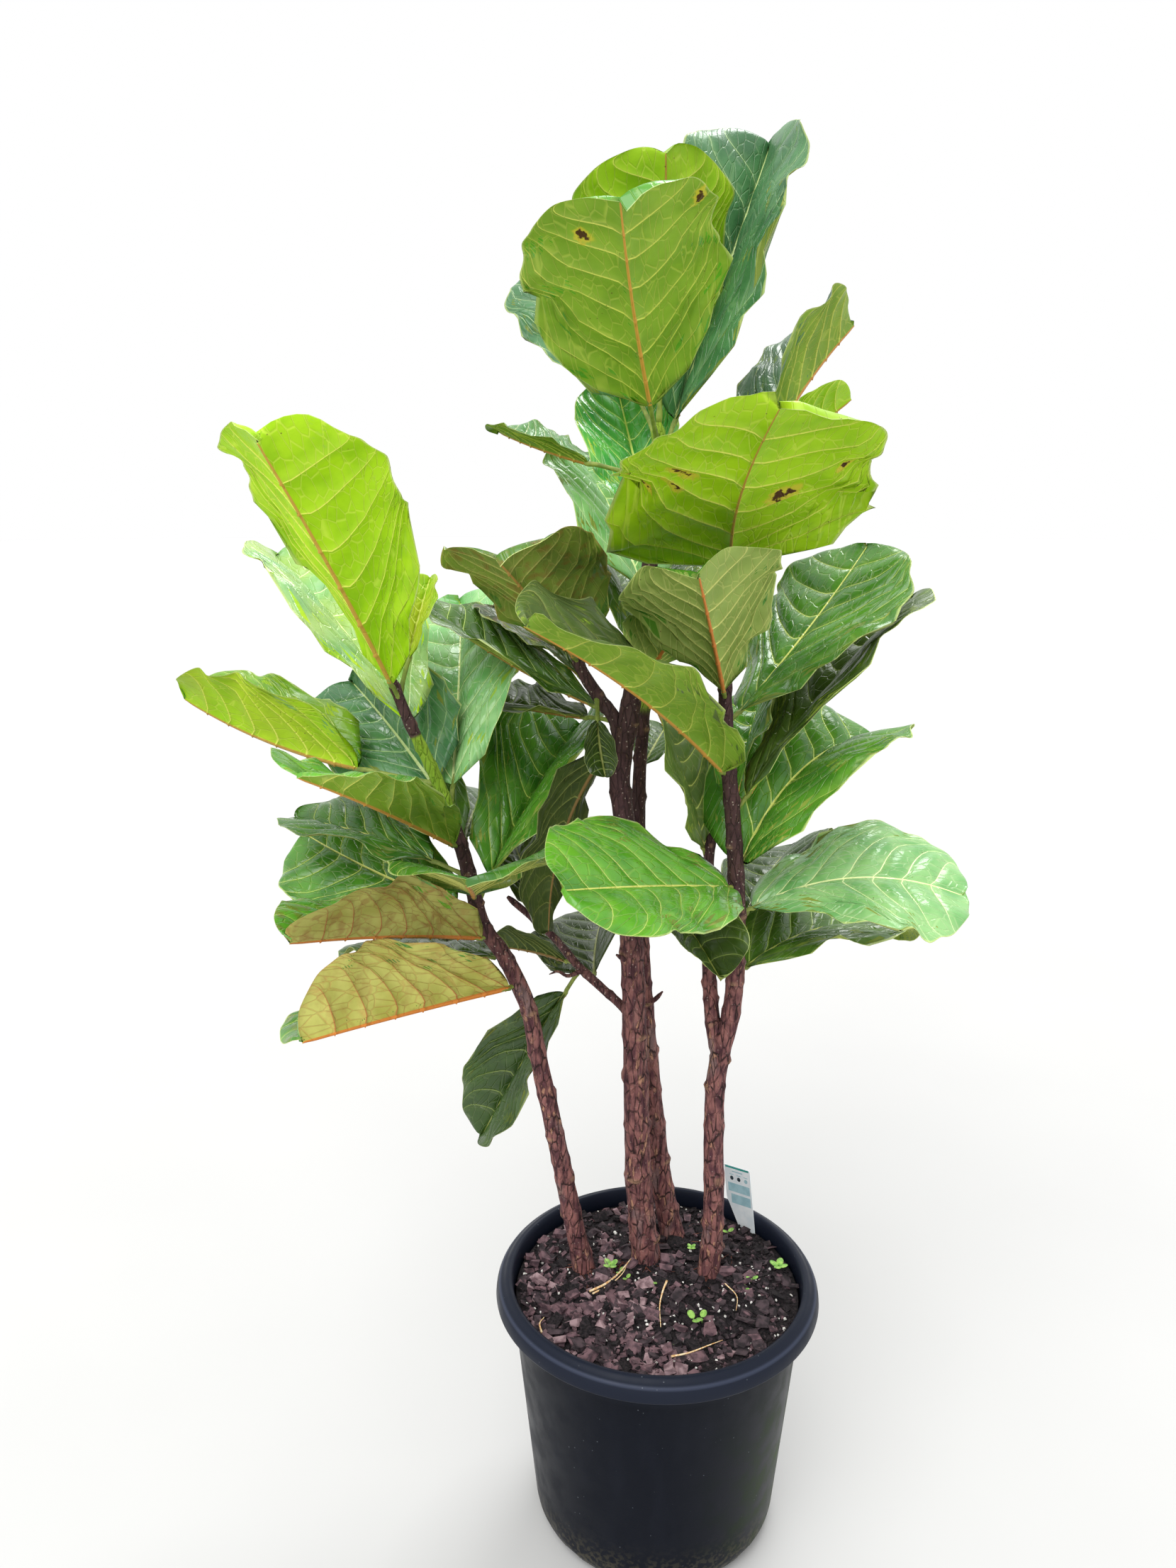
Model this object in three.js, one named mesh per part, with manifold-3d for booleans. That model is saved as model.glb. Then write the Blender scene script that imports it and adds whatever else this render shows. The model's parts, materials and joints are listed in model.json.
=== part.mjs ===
// Potted fiddle leaf fig: a round nursery pot, its potting mix, four woody stems, leaves and a plant label.
// Millimetres, +Z up. The origin is the centre of the pot's base and the plant's front faces -Y.
import * as THREE from "three";
import { ParametricGeometry } from "three/addons/geometries/ParametricGeometry.js";
import { mergeVertices } from "three/addons/utils/BufferGeometryUtils.js";
import Module from "manifold-3d";

const wasm = await Module();
wasm.setup();

const GAP = 0.3; // clearance left round everything that stands in, or grows out of, something else
const SLIVER = 0.1; // faces and edges thinner than this are closed up

// Pot: outside sizes, wall and the downturned lip.
const POT_HEIGHT = 330;
const POT_BASE_RADIUS = 140;
const POT_CORNER_RADIUS = 153; // where the rounded bottom corner meets the tapering wall
const POT_CORNER_HEIGHT = 26;
const POT_TOP_RADIUS = 182.4; // outside of the tapering wall at the very top
const POT_WALL = 2.4;
const POT_FLOOR = 3.2;
const LIP_RADIUS = 200;
const LIP_HEIGHT = 24;
const LIP_RIDGE_RADIUS = 196.5; // soft ridge round the lip, where its top slope turns down
const LIP_RIDGE_DROP = 7;
const LATHE_SIDES = 48;

// Drainage slots through the bottom corner.
const SLOT_COUNT = 12;
const SLOT_WIDTH = 24;
const SLOT_HEIGHT = 16;
const SLOT_DEPTH = 36;

// Potting mix.
const SOIL_EDGE = 309; // height at the pot's wall
const SOIL_CROWN = 315; // height in the middle
const SOIL_SETTLED = 313; // height half way out

// Stems: each runs from a rooted foot in the mix to its growing tip.
const STEM_SIDES = 8;
const STEM_STATIONS = 22;
const BRANCH_STATIONS = 10;
const END_ROUND = 0.5; // how far a stem's end stands out, as a part of its radius
const STEMS = {
  left: {
    radii: [13.5, 6],
    path: [
      [-70, 35, 205], [-89, 30, 302], [-113, 22, 436], [-134, 14, 551], [-146, 10, 618], [-158, 6, 685],
      [-184, 2, 748], [-207, 0, 785], [-225, -5, 865], [-252, -11, 956], [-284, -16, 1033], [-300, -18, 1080],
    ],
  },
  centre: {
    radii: [19, 7],
    path: [
      [-4, 48, 205], [-10, 46, 302], [-21, 44, 422], [-27, 41, 574], [-32, 38, 718], [-43, 34, 896],
      [-49, 33, 952], [-41, 32, 1014], [-26, 30, 1115], [-17, 28, 1208], [-12, 27, 1268], [-10, 25, 1345],
    ],
  },
  rear: {
    radii: [16, 7],
    path: [
      [40, 95, 205], [28, 98, 302], [11, 100, 394], [-7, 103, 560], [-18, 106, 704], [-19, 108, 797],
      [-24, 110, 888], [-21, 112, 977], [-13, 113, 1075],
    ],
  },
  right: {
    radii: [14.5, 6],
    path: [
      [60, 21, 205], [66, 19, 302], [71, 17, 382], [68, 13, 552], [72, 11, 610], [85, 10, 678], [88, 7, 767],
      [81, 4, 890], [73, 2, 962], [66, 0, 1051], [69, -2, 1134], [72, -5, 1275],
    ],
  },
};
const BRANCHES = {
  rightLimb: {
    from: "right",
    radii: [10, 6],
    path: [
      [72, 11, 615], [64, 18, 657], [61, 23, 689], [59, 28, 722], [61, 36, 767], [57, 49, 844], [62, 52, 885],
    ],
  },
  crownBranch: {
    from: "centre",
    radii: [9, 6],
    path: [[-46, 34, 970], [-55, 35, 1020], [-73, 35, 1046], [-93, 35, 1078], [-106, 35, 1115]],
  },
  lowTwig: {
    from: "centre",
    radii: [6, 4],
    path: [[-31, 39, 640], [-40, 42, 660], [-67, 49, 685], [-99, 56, 714], [-128, 64, 747], [-184, 75, 795]],
  },
};

// Leaf blades: an oval that widens towards the tip above a slight waist, folded up along the midrib.
const OVAL_POWER = 2.4;
const WIDEST_AT = 0.72;
const WAIST_AT = 0.26;
const WAIST_SPREAD = 0.12;
const WAIST_DEPTH = 0.25;
const CUP = THREE.MathUtils.degToRad(5);
const BLADE_THICKNESS = 1.6;
const RIB_DEPTH = 2; // how far the midrib stands below the blade where the stalk joins it
const STALK_RADII = [4, 3, 2.6];
const MIDRIB_STEPS = 24;
const BLADE_STATIONS = [0.04, 0.12, 0.24, 0.38, 0.52, 0.66, 0.79, 0.89, 0.96];
// Cross-section, anticlockwise seen from the stalk: `face` is 1 for the upper skin and -1 for the underside.
const SECTION = [
  { side: -1, face: 1 },
  { side: -0.5, face: 1 },
  { side: 0, face: 1 },
  { side: 0.5, face: 1 },
  { side: 1, face: 1 },
  { side: 0.5, face: -1 },
  { side: 0, face: -1 },
  { side: -0.5, face: -1 },
];

// Plant label.
const LABEL_WIDTH = 44;
const LABEL_TOP = 80; // height of the card above the mix
const LABEL_SHOULDER = 34; // height above the mix where the slanted cut begins
const LABEL_TIP = 18; // width of the card at its buried end
const LABEL_BURIED = 25;
const LABEL_THICKNESS = 0.8;
const LABEL_LEAN_BACK = THREE.MathUtils.degToRad(2);
const LABEL_LEAN_SIDE = THREE.MathUtils.degToRad(10);
const LABEL_TURN = THREE.MathUtils.degToRad(-46);
const LABEL_FOOT = [122, 120];

// A leaf on a stem. `aim` is azimuth, elevation and roll, `size` is stalk, length and width, and `curl` is
// bend, sweep, left fold, right fold and twist. Angles are in degrees. A fullness of 1 keeps the blade wide
// down to its stalk.
function leafOn(on, height, aim, size, curl, fullness) {
  const [azimuth, elevation, roll] = aim.map(THREE.MathUtils.degToRad);
  const [stalk, length, width] = size;
  const [bend, sweep, foldLeft, foldRight, twist] = curl.map(THREE.MathUtils.degToRad);
  const aimed = { azimuth, elevation, roll };
  const shaped = { stalk, length, width, bend, sweep, foldLeft, foldRight, twist, fullness };
  return { on, height, ...aimed, ...shaped };
}

const LEAVES = [
  leafOn("centre", 1350, [-68, 86, 0], [45, 210, 210], [15, 10, 20, 10, 0], 0.7),
  leafOn("centre", 1320, [-106, 44, -14], [55, 260, 195], [20, -5, 15, 5, -5], 0.8),
  leafOn("centre", 1295, [42, 64, -22], [60, 350, 215], [10, -5, 50, 40, 5], 0.8),
  leafOn("centre", 1325, [120, 50, 24], [60, 255, 185], [10, 0, 0, 15, 5], 0.7),
  leafOn("centre", 1225, [106, 52, 22], [25, 195, 130], [10, 0, 35, 25, 0], 0.9),
  leafOn("centre", 1285, [162, 14, 2], [80, 125, 90], [-5, 25, 20, 20, 5], 0.6),
  leafOn("centre", 1150, [110, 52, -8], [25, 240, 175], [30, 0, 15, 15, -10], 0.9),
  leafOn("right", 1180, [-100, 26, -4], [40, 290, 240], [-5, -20, 0, -10, 0], 1.1),
  leafOn("right", 1260, [52, 46, 22], [45, 280, 155], [15, -5, 30, 55, -5], 0.6),
  leafOn("right", 1235, [12, 54, 16], [55, 125, 130], [20, 5, 15, 25, 0], 0.7),
  leafOn("right", 1050, [-104, 36, -8], [20, 245, 170], [5, 0, 30, 20, -5], 0.5),
  leafOn("right", 1020, [38, 36, 6], [25, 285, 200], [-5, -5, -5, -5, -10], 0.4),
  leafOn("right", 915, [32, 48, -2], [30, 340, 170], [20, -5, -5, 30, -5], 0.4),
  leafOn("right", 840, [36, 64, -12], [20, 280, 210], [75, 10, 15, 25, 0], 0.9),
  leafOn("right", 795, [8, 28, 0], [20, 255, 215], [50, 15, 10, -10, -5], 0.5),
  leafOn("right", 720, [42, 16, -2], [20, 285, 185], [40, 5, 15, 10, 0], 0.7),
  leafOn("right", 830, [-130, 16, 18], [15, 295, 180], [5, 0, 0, 20, 5], 0.7),
  leafOn("rightLimb", 840, [156, 76, 6], [25, 180, 150], [15, 0, 10, 20, -15], 0.7),
  leafOn("right", 960, [-134, 40, 38], [15, 340, 190], [15, -5, 45, 5, 5], 0.7),
  leafOn("centre", 1050, [-52, 48, 6], [25, 155, 115], [20, 20, 15, 25, 0], 0.6),
  leafOn("left", 875, [92, 6, -4], [45, 255, 170], [20, 10, 15, 15, -5], 0.5),
  leafOn("rightLimb", 855, [82, 36, -20], [15, 190, 95], [25, 0, 25, 15, 0], 0.4),
  leafOn("right", 920, [72, 42, 18], [20, 200, 110], [20, -5, 15, 35, 5], 0.6),
  leafOn("right", 775, [64, 22, 12], [35, 195, 150], [25, -5, 0, 15, 5], 0.6),
  leafOn("rear", 815, [-68, -8, -2], [35, 185, 110], [20, 0, 25, 35, 0], 0.6),
  leafOn("crownBranch", 1085, [-116, 38, -10], [15, 225, 180], [15, -5, 25, 20, 0], 0.7),
  leafOn("crownBranch", 1030, [154, 18, 12], [20, 270, 100], [-5, 15, 30, 20, 0], 0.5),
  leafOn("crownBranch", 1020, [144, 0, 4], [40, 220, 110], [0, 15, 10, 15, 5], 0.6),
  leafOn("crownBranch", 1050, [-88, -46, -10], [35, 75, 40], [0, -10, 20, 15, 0], 0.6),
  leafOn("left", 920, [90, 44, 18], [40, 320, 195], [15, -10, 5, 10, 0], 0.6),
  leafOn("left", 810, [60, 42, -6], [40, 275, 185], [25, -5, 45, 40, 5], 0.6),
  leafOn("centre", 1020, [164, -54, -14], [45, 235, 120], [40, 0, 15, 0, 15], 0.9),
  leafOn("left", 1050, [-118, 56, -2], [25, 325, 195], [15, -10, 30, 25, -5], 0.4),
  leafOn("left", 1055, [62, 64, -10], [45, 100, 55], [15, -5, 40, 35, 0], 0.6),
  leafOn("left", 1015, [134, 42, 8], [15, 305, 200], [15, -5, 35, 10, 0], 0.7),
  leafOn("left", 955, [164, 8, 0], [100, 245, 155], [-15, 10, 65, 40, 5], 1.1),
  leafOn("left", 935, [126, 28, 22], [30, 245, 170], [15, 0, 0, 25, 5], 1),
  leafOn("left", 860, [118, 34, 26], [30, 290, 140], [10, 5, 15, 30, 10], 0.7),
  leafOn("left", 880, [-128, 32, 10], [15, 270, 155], [5, -15, 40, 0, 10], 0.6),
  leafOn("left", 800, [146, 6, 22], [35, 275, 170], [0, 10, -5, 5, 15], 0.6),
  leafOn("left", 845, [148, 12, 12], [55, 240, 125], [20, 5, 15, 20, 0], 0.6),
  leafOn("left", 820, [-86, 24, 0], [25, 235, 175], [5, 0, 15, 15, 0], 0.6),
  leafOn("left", 770, [-134, 18, 0], [15, 275, 150], [5, -10, 65, 15, 5], 0.7),
  leafOn("left", 710, [-136, 6, -12], [15, 290, 165], [0, -10, 80, 10, -5], 0.6),
  leafOn("left", 745, [150, -6, -6], [15, 225, 130], [5, 5, 5, 0, 0], 0.6),
  leafOn("lowTwig", 710, [164, -60, 56], [40, 235, 125], [0, -5, 30, 25, 0], 0.6),
  leafOn("lowTwig", 715, [146, 4, -2], [15, 105, 70], [15, 5, 65, 15, 0], 0.6),
  leafOn("lowTwig", 760, [106, 28, 8], [30, 155, 95], [25, 0, 15, 20, 0], 0.5),
  leafOn("lowTwig", 695, [90, 14, 22], [15, 185, 155], [20, 5, 5, 35, -5], 1.1),
  leafOn("rear", 940, [74, 14, -2], [25, 150, 80], [15, -5, 15, 15, 0], 0.6),
  leafOn("crownBranch", 1060, [128, 26, 6], [20, 195, 110], [15, 0, 25, 30, 0], 0.5),
  leafOn("centre", 1145, [72, 20, -2], [40, 260, 185], [15, -10, 15, 15, 0], 0.6),
  leafOn("rear", 1060, [98, 32, -18], [30, 255, 190], [20, 5, 30, 15, 0], 0.6),
];

// Finishes.
const POT_FINISH = { color: 0x20242c, roughness: 0.42, metalness: 0 };
const SOIL_FINISH = { color: 0x33261f, roughness: 0.98, metalness: 0 };
const BARK_FINISH = { color: 0x5a3f33, roughness: 0.9, metalness: 0 };
const LABEL_FINISH = { color: 0xd9e6ec, roughness: 0.5, metalness: 0 };
const LEAF_FINISH = { color: 0x5f8238, roughness: 0.5, metalness: 0 };

// Closed outline of any geometry as a solid: shared corners joined, collapsed faces dropped.
function solidOf(geometry) {
  geometry.deleteAttribute("normal");
  geometry.deleteAttribute("uv");
  const joined = mergeVertices(geometry, 1e-3);
  const corners = joined.index.array;
  const faces = [];
  for (let i = 0; i < corners.length; i += 3) {
    const [a, b, c] = [corners[i], corners[i + 1], corners[i + 2]];
    if (a !== b && b !== c && c !== a) faces.push(a, b, c);
  }
  return new wasm.Manifold(
    new wasm.Mesh({
      numProp: 3,
      vertProperties: joined.attributes.position.array,
      triVerts: new Uint32Array(faces),
    }),
  );
}

// A solid back as a named mesh in its own finish, without the slivers that cuts leave.
function meshOf(name, solid, finish) {
  const { vertProperties, triVerts } = solid.simplify(SLIVER).getMesh();
  const geometry = new THREE.BufferGeometry();
  geometry.setAttribute("position", new THREE.BufferAttribute(new Float32Array(vertProperties), 3));
  geometry.setIndex(new THREE.BufferAttribute(new Uint32Array(triVerts), 1));
  geometry.computeVertexNormals();
  const mesh = new THREE.Mesh(geometry, new THREE.MeshStandardMaterial(finish));
  mesh.name = name;
  return mesh;
}

// Skin over a row of rings: place(ring, corner) returns the corner's point. The rings before the first and
// after the last are single points that close the ends.
function skinned(rings, corners, place) {
  return new ParametricGeometry(
    (u, v, target) => {
      const ring = Math.round(v * (rings + 1)) - 1;
      const corner = Math.round(u * corners) % corners;
      target.copy(place(ring, corner));
    },
    corners,
    rings + 1,
  );
}

// Solid of revolution about +Z from a profile of [radius, height] pairs that starts and ends on the axis.
function turned(profile) {
  const geometry = new THREE.LatheGeometry(
    profile.map(([radius, height]) => new THREE.Vector2(radius, height)),
    LATHE_SIDES,
  );
  geometry.rotateX(Math.PI / 2);
  return solidOf(geometry);
}

// Radius of the inside of the pot's tapering wall at a height.
function potInside(height) {
  const rise = (height - POT_CORNER_HEIGHT) / (POT_HEIGHT - POT_CORNER_HEIGHT);
  return POT_CORNER_RADIUS + rise * (POT_TOP_RADIUS - POT_CORNER_RADIUS) - POT_WALL;
}

function potSolid() {
  const ridge = POT_HEIGHT - LIP_RIDGE_DROP;
  const skirt = POT_HEIGHT - LIP_HEIGHT;
  const shell = turned([
    [0, 0],
    [POT_BASE_RADIUS - 12, 0],
    [POT_BASE_RADIUS, 3],
    [POT_CORNER_RADIUS - 4, 12],
    [POT_CORNER_RADIUS, POT_CORNER_HEIGHT],
    [potInside(skirt) + POT_WALL, skirt],
    [potInside(ridge) + POT_WALL, ridge - 1],
    [LIP_RIDGE_RADIUS - POT_WALL, ridge - 2.5],
    [LIP_RADIUS - POT_WALL, skirt + 4],
    [LIP_RADIUS - POT_WALL, skirt],
    [LIP_RADIUS - 0.6, skirt],
    [LIP_RADIUS, skirt + 3],
    [LIP_RADIUS - 1, ridge - 7],
    [LIP_RIDGE_RADIUS, ridge],
    [LIP_RIDGE_RADIUS - 5, POT_HEIGHT - 2],
    [POT_TOP_RADIUS + 2, POT_HEIGHT],
    [potInside(POT_HEIGHT), POT_HEIGHT - 0.5],
    [potInside(POT_CORNER_HEIGHT), POT_CORNER_HEIGHT + 1],
    [POT_CORNER_RADIUS - 7, 14],
    [POT_BASE_RADIUS - 2, POT_FLOOR + 3],
    [POT_BASE_RADIUS - 14, POT_FLOOR],
    [0, POT_FLOOR],
  ]);
  let pot = shell;
  for (let i = 0; i < SLOT_COUNT; i++) {
    const slot = new THREE.BoxGeometry(SLOT_DEPTH, SLOT_WIDTH, SLOT_HEIGHT);
    slot.translate(POT_CORNER_RADIUS, 0, SLOT_HEIGHT / 2);
    slot.rotateZ(((i + 0.5) / SLOT_COUNT) * 2 * Math.PI);
    pot = pot.subtract(solidOf(slot));
  }
  return pot;
}

function soilSolid(cutters) {
  const mix = turned([
    [0, POT_FLOOR + GAP],
    [POT_BASE_RADIUS - 14 - GAP, POT_FLOOR + GAP],
    [POT_BASE_RADIUS - 2 - 2 * GAP, POT_FLOOR + 3 + GAP],
    [POT_CORNER_RADIUS - 7 - 2 * GAP, 14 + GAP],
    [potInside(POT_CORNER_HEIGHT) - 2 * GAP, POT_CORNER_HEIGHT + 1],
    [potInside(SOIL_EDGE) - GAP, SOIL_EDGE],
    [100, SOIL_SETTLED],
    [45, SOIL_CROWN - 0.4],
    [0, SOIL_CROWN],
  ]);
  return cutters.reduce((rest, cutter) => rest.subtract(cutter), mix);
}

// Round tapering limb along a smooth path, `grow` thicker all round, closed at both ends.
function limbSolid({ path, radii }, stations, grow) {
  const curve = new THREE.CatmullRomCurve3(path.map((point) => new THREE.Vector3(...point)));
  const { tangents, normals, binormals } = curve.computeFrenetFrames(stations - 1);
  const [thick, thin] = radii;
  return solidOf(
    skinned(stations, STEM_SIDES, (ring, corner) => {
      const station = THREE.MathUtils.clamp(ring, 0, stations - 1);
      const along = station / (stations - 1);
      const centre = curve.getPointAt(along);
      const radius = THREE.MathUtils.lerp(thick, thin, along) + grow;
      const overhang = (ring - station) * radius * END_ROUND;
      if (overhang !== 0) return centre.addScaledVector(tangents[station], overhang);
      const angle = (corner / STEM_SIDES) * 2 * Math.PI;
      return centre
        .addScaledVector(normals[station], radius * Math.cos(angle))
        .addScaledVector(binormals[station], radius * Math.sin(angle));
    }),
  );
}

// A stem with every branch that grows from it, as one solid.
function stemSolid(name, grow) {
  const branches = Object.values(BRANCHES).filter((branch) => branch.from === name);
  return branches.reduce(
    (stem, branch) => stem.add(limbSolid(branch, BRANCH_STATIONS, grow)),
    limbSolid(STEMS[name], STEM_STATIONS, grow),
  );
}

// Point on the axis of a stem or branch at a height, found by halving along its path.
function axisAt(name, height) {
  const { path } = STEMS[name] ?? BRANCHES[name];
  const curve = new THREE.CatmullRomCurve3(path.map((point) => new THREE.Vector3(...point)));
  let [low, high] = [0, 1];
  for (let i = 0; i < 30; i++) {
    const middle = (low + high) / 2;
    if (curve.getPoint(middle).z < height) low = middle;
    else high = middle;
  }
  return curve.getPoint(low);
}

// Half width of the blade, as a part of half the leaf's width, from the stalk (0) to the tip (1).
function halfWidth(along, fullness) {
  const oval = Math.sqrt(1 - Math.abs(2 * along - 1) ** OVAL_POWER);
  const widening = Math.sin((Math.PI / 2) * Math.min(1, along / WIDEST_AT));
  const waist = WAIST_DEPTH * Math.exp(-(((along - WAIST_AT) / WAIST_SPREAD) ** 2));
  return oval * (fullness + (1 - fullness) * (widening - waist));
}

// Centre line of a blade up to `along`: it starts along +Y, bends towards -Z and sweeps towards +X.
function midribAt(leaf, along) {
  const point = new THREE.Vector3(0, leaf.stalk, 0);
  for (let i = 0; i < MIDRIB_STEPS; i++) {
    const at = ((i + 0.5) / MIDRIB_STEPS) * along;
    const step = (leaf.length * along) / MIDRIB_STEPS;
    const level = step * Math.cos(leaf.bend * at);
    point.x += level * Math.sin(leaf.sweep * at);
    point.y += level * Math.cos(leaf.sweep * at);
    point.z -= step * Math.sin(leaf.bend * at);
  }
  return point;
}

// Corner of the blade's cross-section: `side` runs from the left margin (-1) to the right one (1).
function bladeCorner(leaf, along, side, lift) {
  const sweep = leaf.sweep * along;
  const bend = leaf.bend * along;
  const across = new THREE.Vector3(Math.cos(sweep), -Math.sin(sweep), 0);
  const forward = new THREE.Vector3(
    Math.sin(sweep) * Math.cos(bend),
    Math.cos(sweep) * Math.cos(bend),
    -Math.sin(bend),
  );
  const up = new THREE.Vector3().crossVectors(across, forward);
  across.applyAxisAngle(forward, -leaf.twist * along);
  up.applyAxisAngle(forward, -leaf.twist * along);
  const reach = (Math.abs(side) * halfWidth(along, leaf.fullness) * leaf.width) / 2;
  const fold = (side < 0 ? leaf.foldLeft : leaf.foldRight) + (CUP * Math.abs(side)) / 2;
  return midribAt(leaf, along)
    .addScaledVector(across, Math.sign(side) * reach * Math.cos(fold))
    .addScaledVector(up, reach * Math.sin(fold) + lift);
}

// One leaf in its own frame: the stalk starts at the origin and runs along +Y, the upper face looks to +Z.
function leafSolid(leaf) {
  const stalkStations = [0, 0.45 * leaf.stalk, leaf.stalk - 1];
  const rings = stalkStations.length + BLADE_STATIONS.length;
  return solidOf(
    skinned(rings, SECTION.length, (ring, corner) => {
      const { side, face } = SECTION[corner];
      if (ring < 0) return new THREE.Vector3();
      if (ring >= rings) return midribAt(leaf, 1);
      if (ring < stalkStations.length) {
        const radius = STALK_RADII[ring];
        const angle = face * Math.acos(side);
        return new THREE.Vector3(radius * Math.cos(angle), stalkStations[ring], radius * Math.sin(angle));
      }
      const along = BLADE_STATIONS[ring - stalkStations.length];
      const rib = side === 0 && face < 0 ? THREE.MathUtils.lerp(RIB_DEPTH, 0, along) : 0;
      const lift = Math.abs(side) === 1 ? 0 : face * (BLADE_THICKNESS / 2 + rib);
      return bladeCorner(leaf, along, side, lift);
    }),
  );
}

// Places a leaf: azimuth turns it round the plant (0 is +X, -90 the front), elevation lifts its tip, and roll
// tips it sideways.
function leafPlacement(leaf) {
  const { azimuth, elevation, roll } = leaf;
  const forward = new THREE.Vector3(
    Math.cos(elevation) * Math.cos(azimuth),
    Math.cos(elevation) * Math.sin(azimuth),
    Math.sin(elevation),
  );
  const right = new THREE.Vector3(Math.sin(azimuth), -Math.cos(azimuth), 0);
  right.applyAxisAngle(forward, -roll);
  const up = new THREE.Vector3().crossVectors(right, forward);
  return new THREE.Matrix4().makeBasis(right, forward, up).setPosition(axisAt(leaf.on, leaf.height));
}

// Stake label: a card with one side cut on a slant, pushed into the mix and leaning to one side.
function labelSolid(grow) {
  const half = LABEL_WIDTH / 2 + grow;
  const end = -LABEL_BURIED - grow;
  const outline = new THREE.Shape();
  outline.moveTo(LABEL_WIDTH / 2 - LABEL_TIP - grow, end);
  outline.lineTo(half, end);
  outline.lineTo(half, LABEL_TOP + grow);
  outline.lineTo(-half, LABEL_TOP + grow);
  outline.lineTo(-half, LABEL_SHOULDER - grow);
  outline.closePath();
  const depth = LABEL_THICKNESS + 2 * grow;
  const card = new THREE.ExtrudeGeometry(outline, { depth, bevelEnabled: false });
  card.translate(0, 0, -depth / 2);
  card.rotateX(Math.PI / 2 - LABEL_LEAN_BACK);
  card.rotateY(-LABEL_LEAN_SIDE);
  card.rotateZ(LABEL_TURN);
  card.translate(LABEL_FOOT[0], LABEL_FOOT[1], SOIL_SETTLED);
  return solidOf(card);
}

const potted = new THREE.Group();
potted.name = "potted_fiddle_leaf_fig";
potted.add(meshOf("pot", potSolid(), POT_FINISH));

const stemNames = Object.keys(STEMS);
const pockets = stemNames.map((name) => stemSolid(name, GAP));
potted.add(meshOf("soil_mix", soilSolid([...pockets, labelSolid(GAP)]), SOIL_FINISH));
for (const name of stemNames) potted.add(meshOf(`trunk_${name}`, stemSolid(name, 0), BARK_FINISH));
potted.add(meshOf("plant_label", labelSolid(0), LABEL_FINISH));

LEAVES.forEach((leaf, i) => {
  const stem = BRANCHES[leaf.on]?.from ?? leaf.on;
  const grown = leafSolid(leaf).transform(leafPlacement(leaf).toArray());
  const cut = grown.subtract(pockets[stemNames.indexOf(stem)]);
  potted.add(meshOf(`leaf_${String(i + 1).padStart(2, "0")}`, cut, LEAF_FINISH));
});

export default potted;
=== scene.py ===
"""Looks of a potted fiddle leaf fig, built round its CAD frame. Metres, +Z up, the plant's front faces -Y."""

import json
import logging
import math
import random
from collections.abc import Callable, Iterable, Sequence
from dataclasses import dataclass
from enum import Enum

import bmesh
import bpy
from mathutils import Matrix, Vector, noise

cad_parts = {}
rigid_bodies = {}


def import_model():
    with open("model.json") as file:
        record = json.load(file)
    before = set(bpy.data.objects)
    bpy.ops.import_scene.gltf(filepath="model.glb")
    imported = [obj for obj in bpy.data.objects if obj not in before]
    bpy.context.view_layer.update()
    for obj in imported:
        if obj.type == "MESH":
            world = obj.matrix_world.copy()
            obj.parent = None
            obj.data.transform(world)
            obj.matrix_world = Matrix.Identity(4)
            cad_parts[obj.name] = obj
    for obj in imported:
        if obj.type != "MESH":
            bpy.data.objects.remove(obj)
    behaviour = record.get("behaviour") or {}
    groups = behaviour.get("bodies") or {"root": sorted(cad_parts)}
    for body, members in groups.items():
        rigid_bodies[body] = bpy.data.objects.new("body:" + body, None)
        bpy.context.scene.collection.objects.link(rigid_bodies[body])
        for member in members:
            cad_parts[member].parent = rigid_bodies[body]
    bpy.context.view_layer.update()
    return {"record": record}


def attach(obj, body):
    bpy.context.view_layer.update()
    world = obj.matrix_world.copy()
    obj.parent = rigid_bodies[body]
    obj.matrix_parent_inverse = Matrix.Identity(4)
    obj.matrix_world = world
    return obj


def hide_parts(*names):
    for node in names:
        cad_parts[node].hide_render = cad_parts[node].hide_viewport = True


LOG = logging.getLogger("fiddle_leaf_fig")
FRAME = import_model()
MM = 0.001
BODY = "root"
STEMS = ("left", "centre", "rear", "right")
GOLDEN_TURN = math.radians(137.5)

Socket = bpy.types.NodeSocket
Colour = tuple[float, float, float, float]


# ---------------------------------------------------------------- finishes


def linear(hex_colour: str) -> Colour:
    """Turn an sRGB hex colour into linear RGBA.

    Args:
        hex_colour: Six hex digits after a hash.

    Returns:
        The four linear channels.
    """
    channels = [int(hex_colour[i : i + 2], 16) / 255 for i in (1, 3, 5)]
    red, green, blue = (c / 12.92 if c <= 0.04045 else ((c + 0.055) / 1.055) ** 2.4 for c in channels)
    return red, green, blue, 1.0


def add_node(tree: bpy.types.NodeTree, kind: str, inputs: dict | None = None, **settings: object) -> bpy.types.Node:
    """Add a shader node with its settings, and fill or link its inputs.

    Args:
        tree: The material's node tree.
        kind: Node type, without its ShaderNode prefix.
        inputs: Input name or index to a value, a hex colour or a socket.
        settings: Attributes of the node.

    Returns:
        The new node.
    """
    node = tree.nodes.new("ShaderNode" + kind)
    for name, value in settings.items():
        setattr(node, name, value)
    fill(tree, node, inputs or {})
    return node


def fill(tree: bpy.types.NodeTree, node: bpy.types.Node, inputs: dict) -> None:
    """Set or link the inputs of a node: a hex colour, a value or a socket for each name or index.

    Args:
        tree: The material's node tree.
        node: Node to fill.
        inputs: Value for each input name or index.
    """
    for name, value in inputs.items():
        if isinstance(value, Socket):
            tree.links.new(value, node.inputs[name])
        else:
            node.inputs[name].default_value = linear(value) if isinstance(value, str) else value


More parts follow.
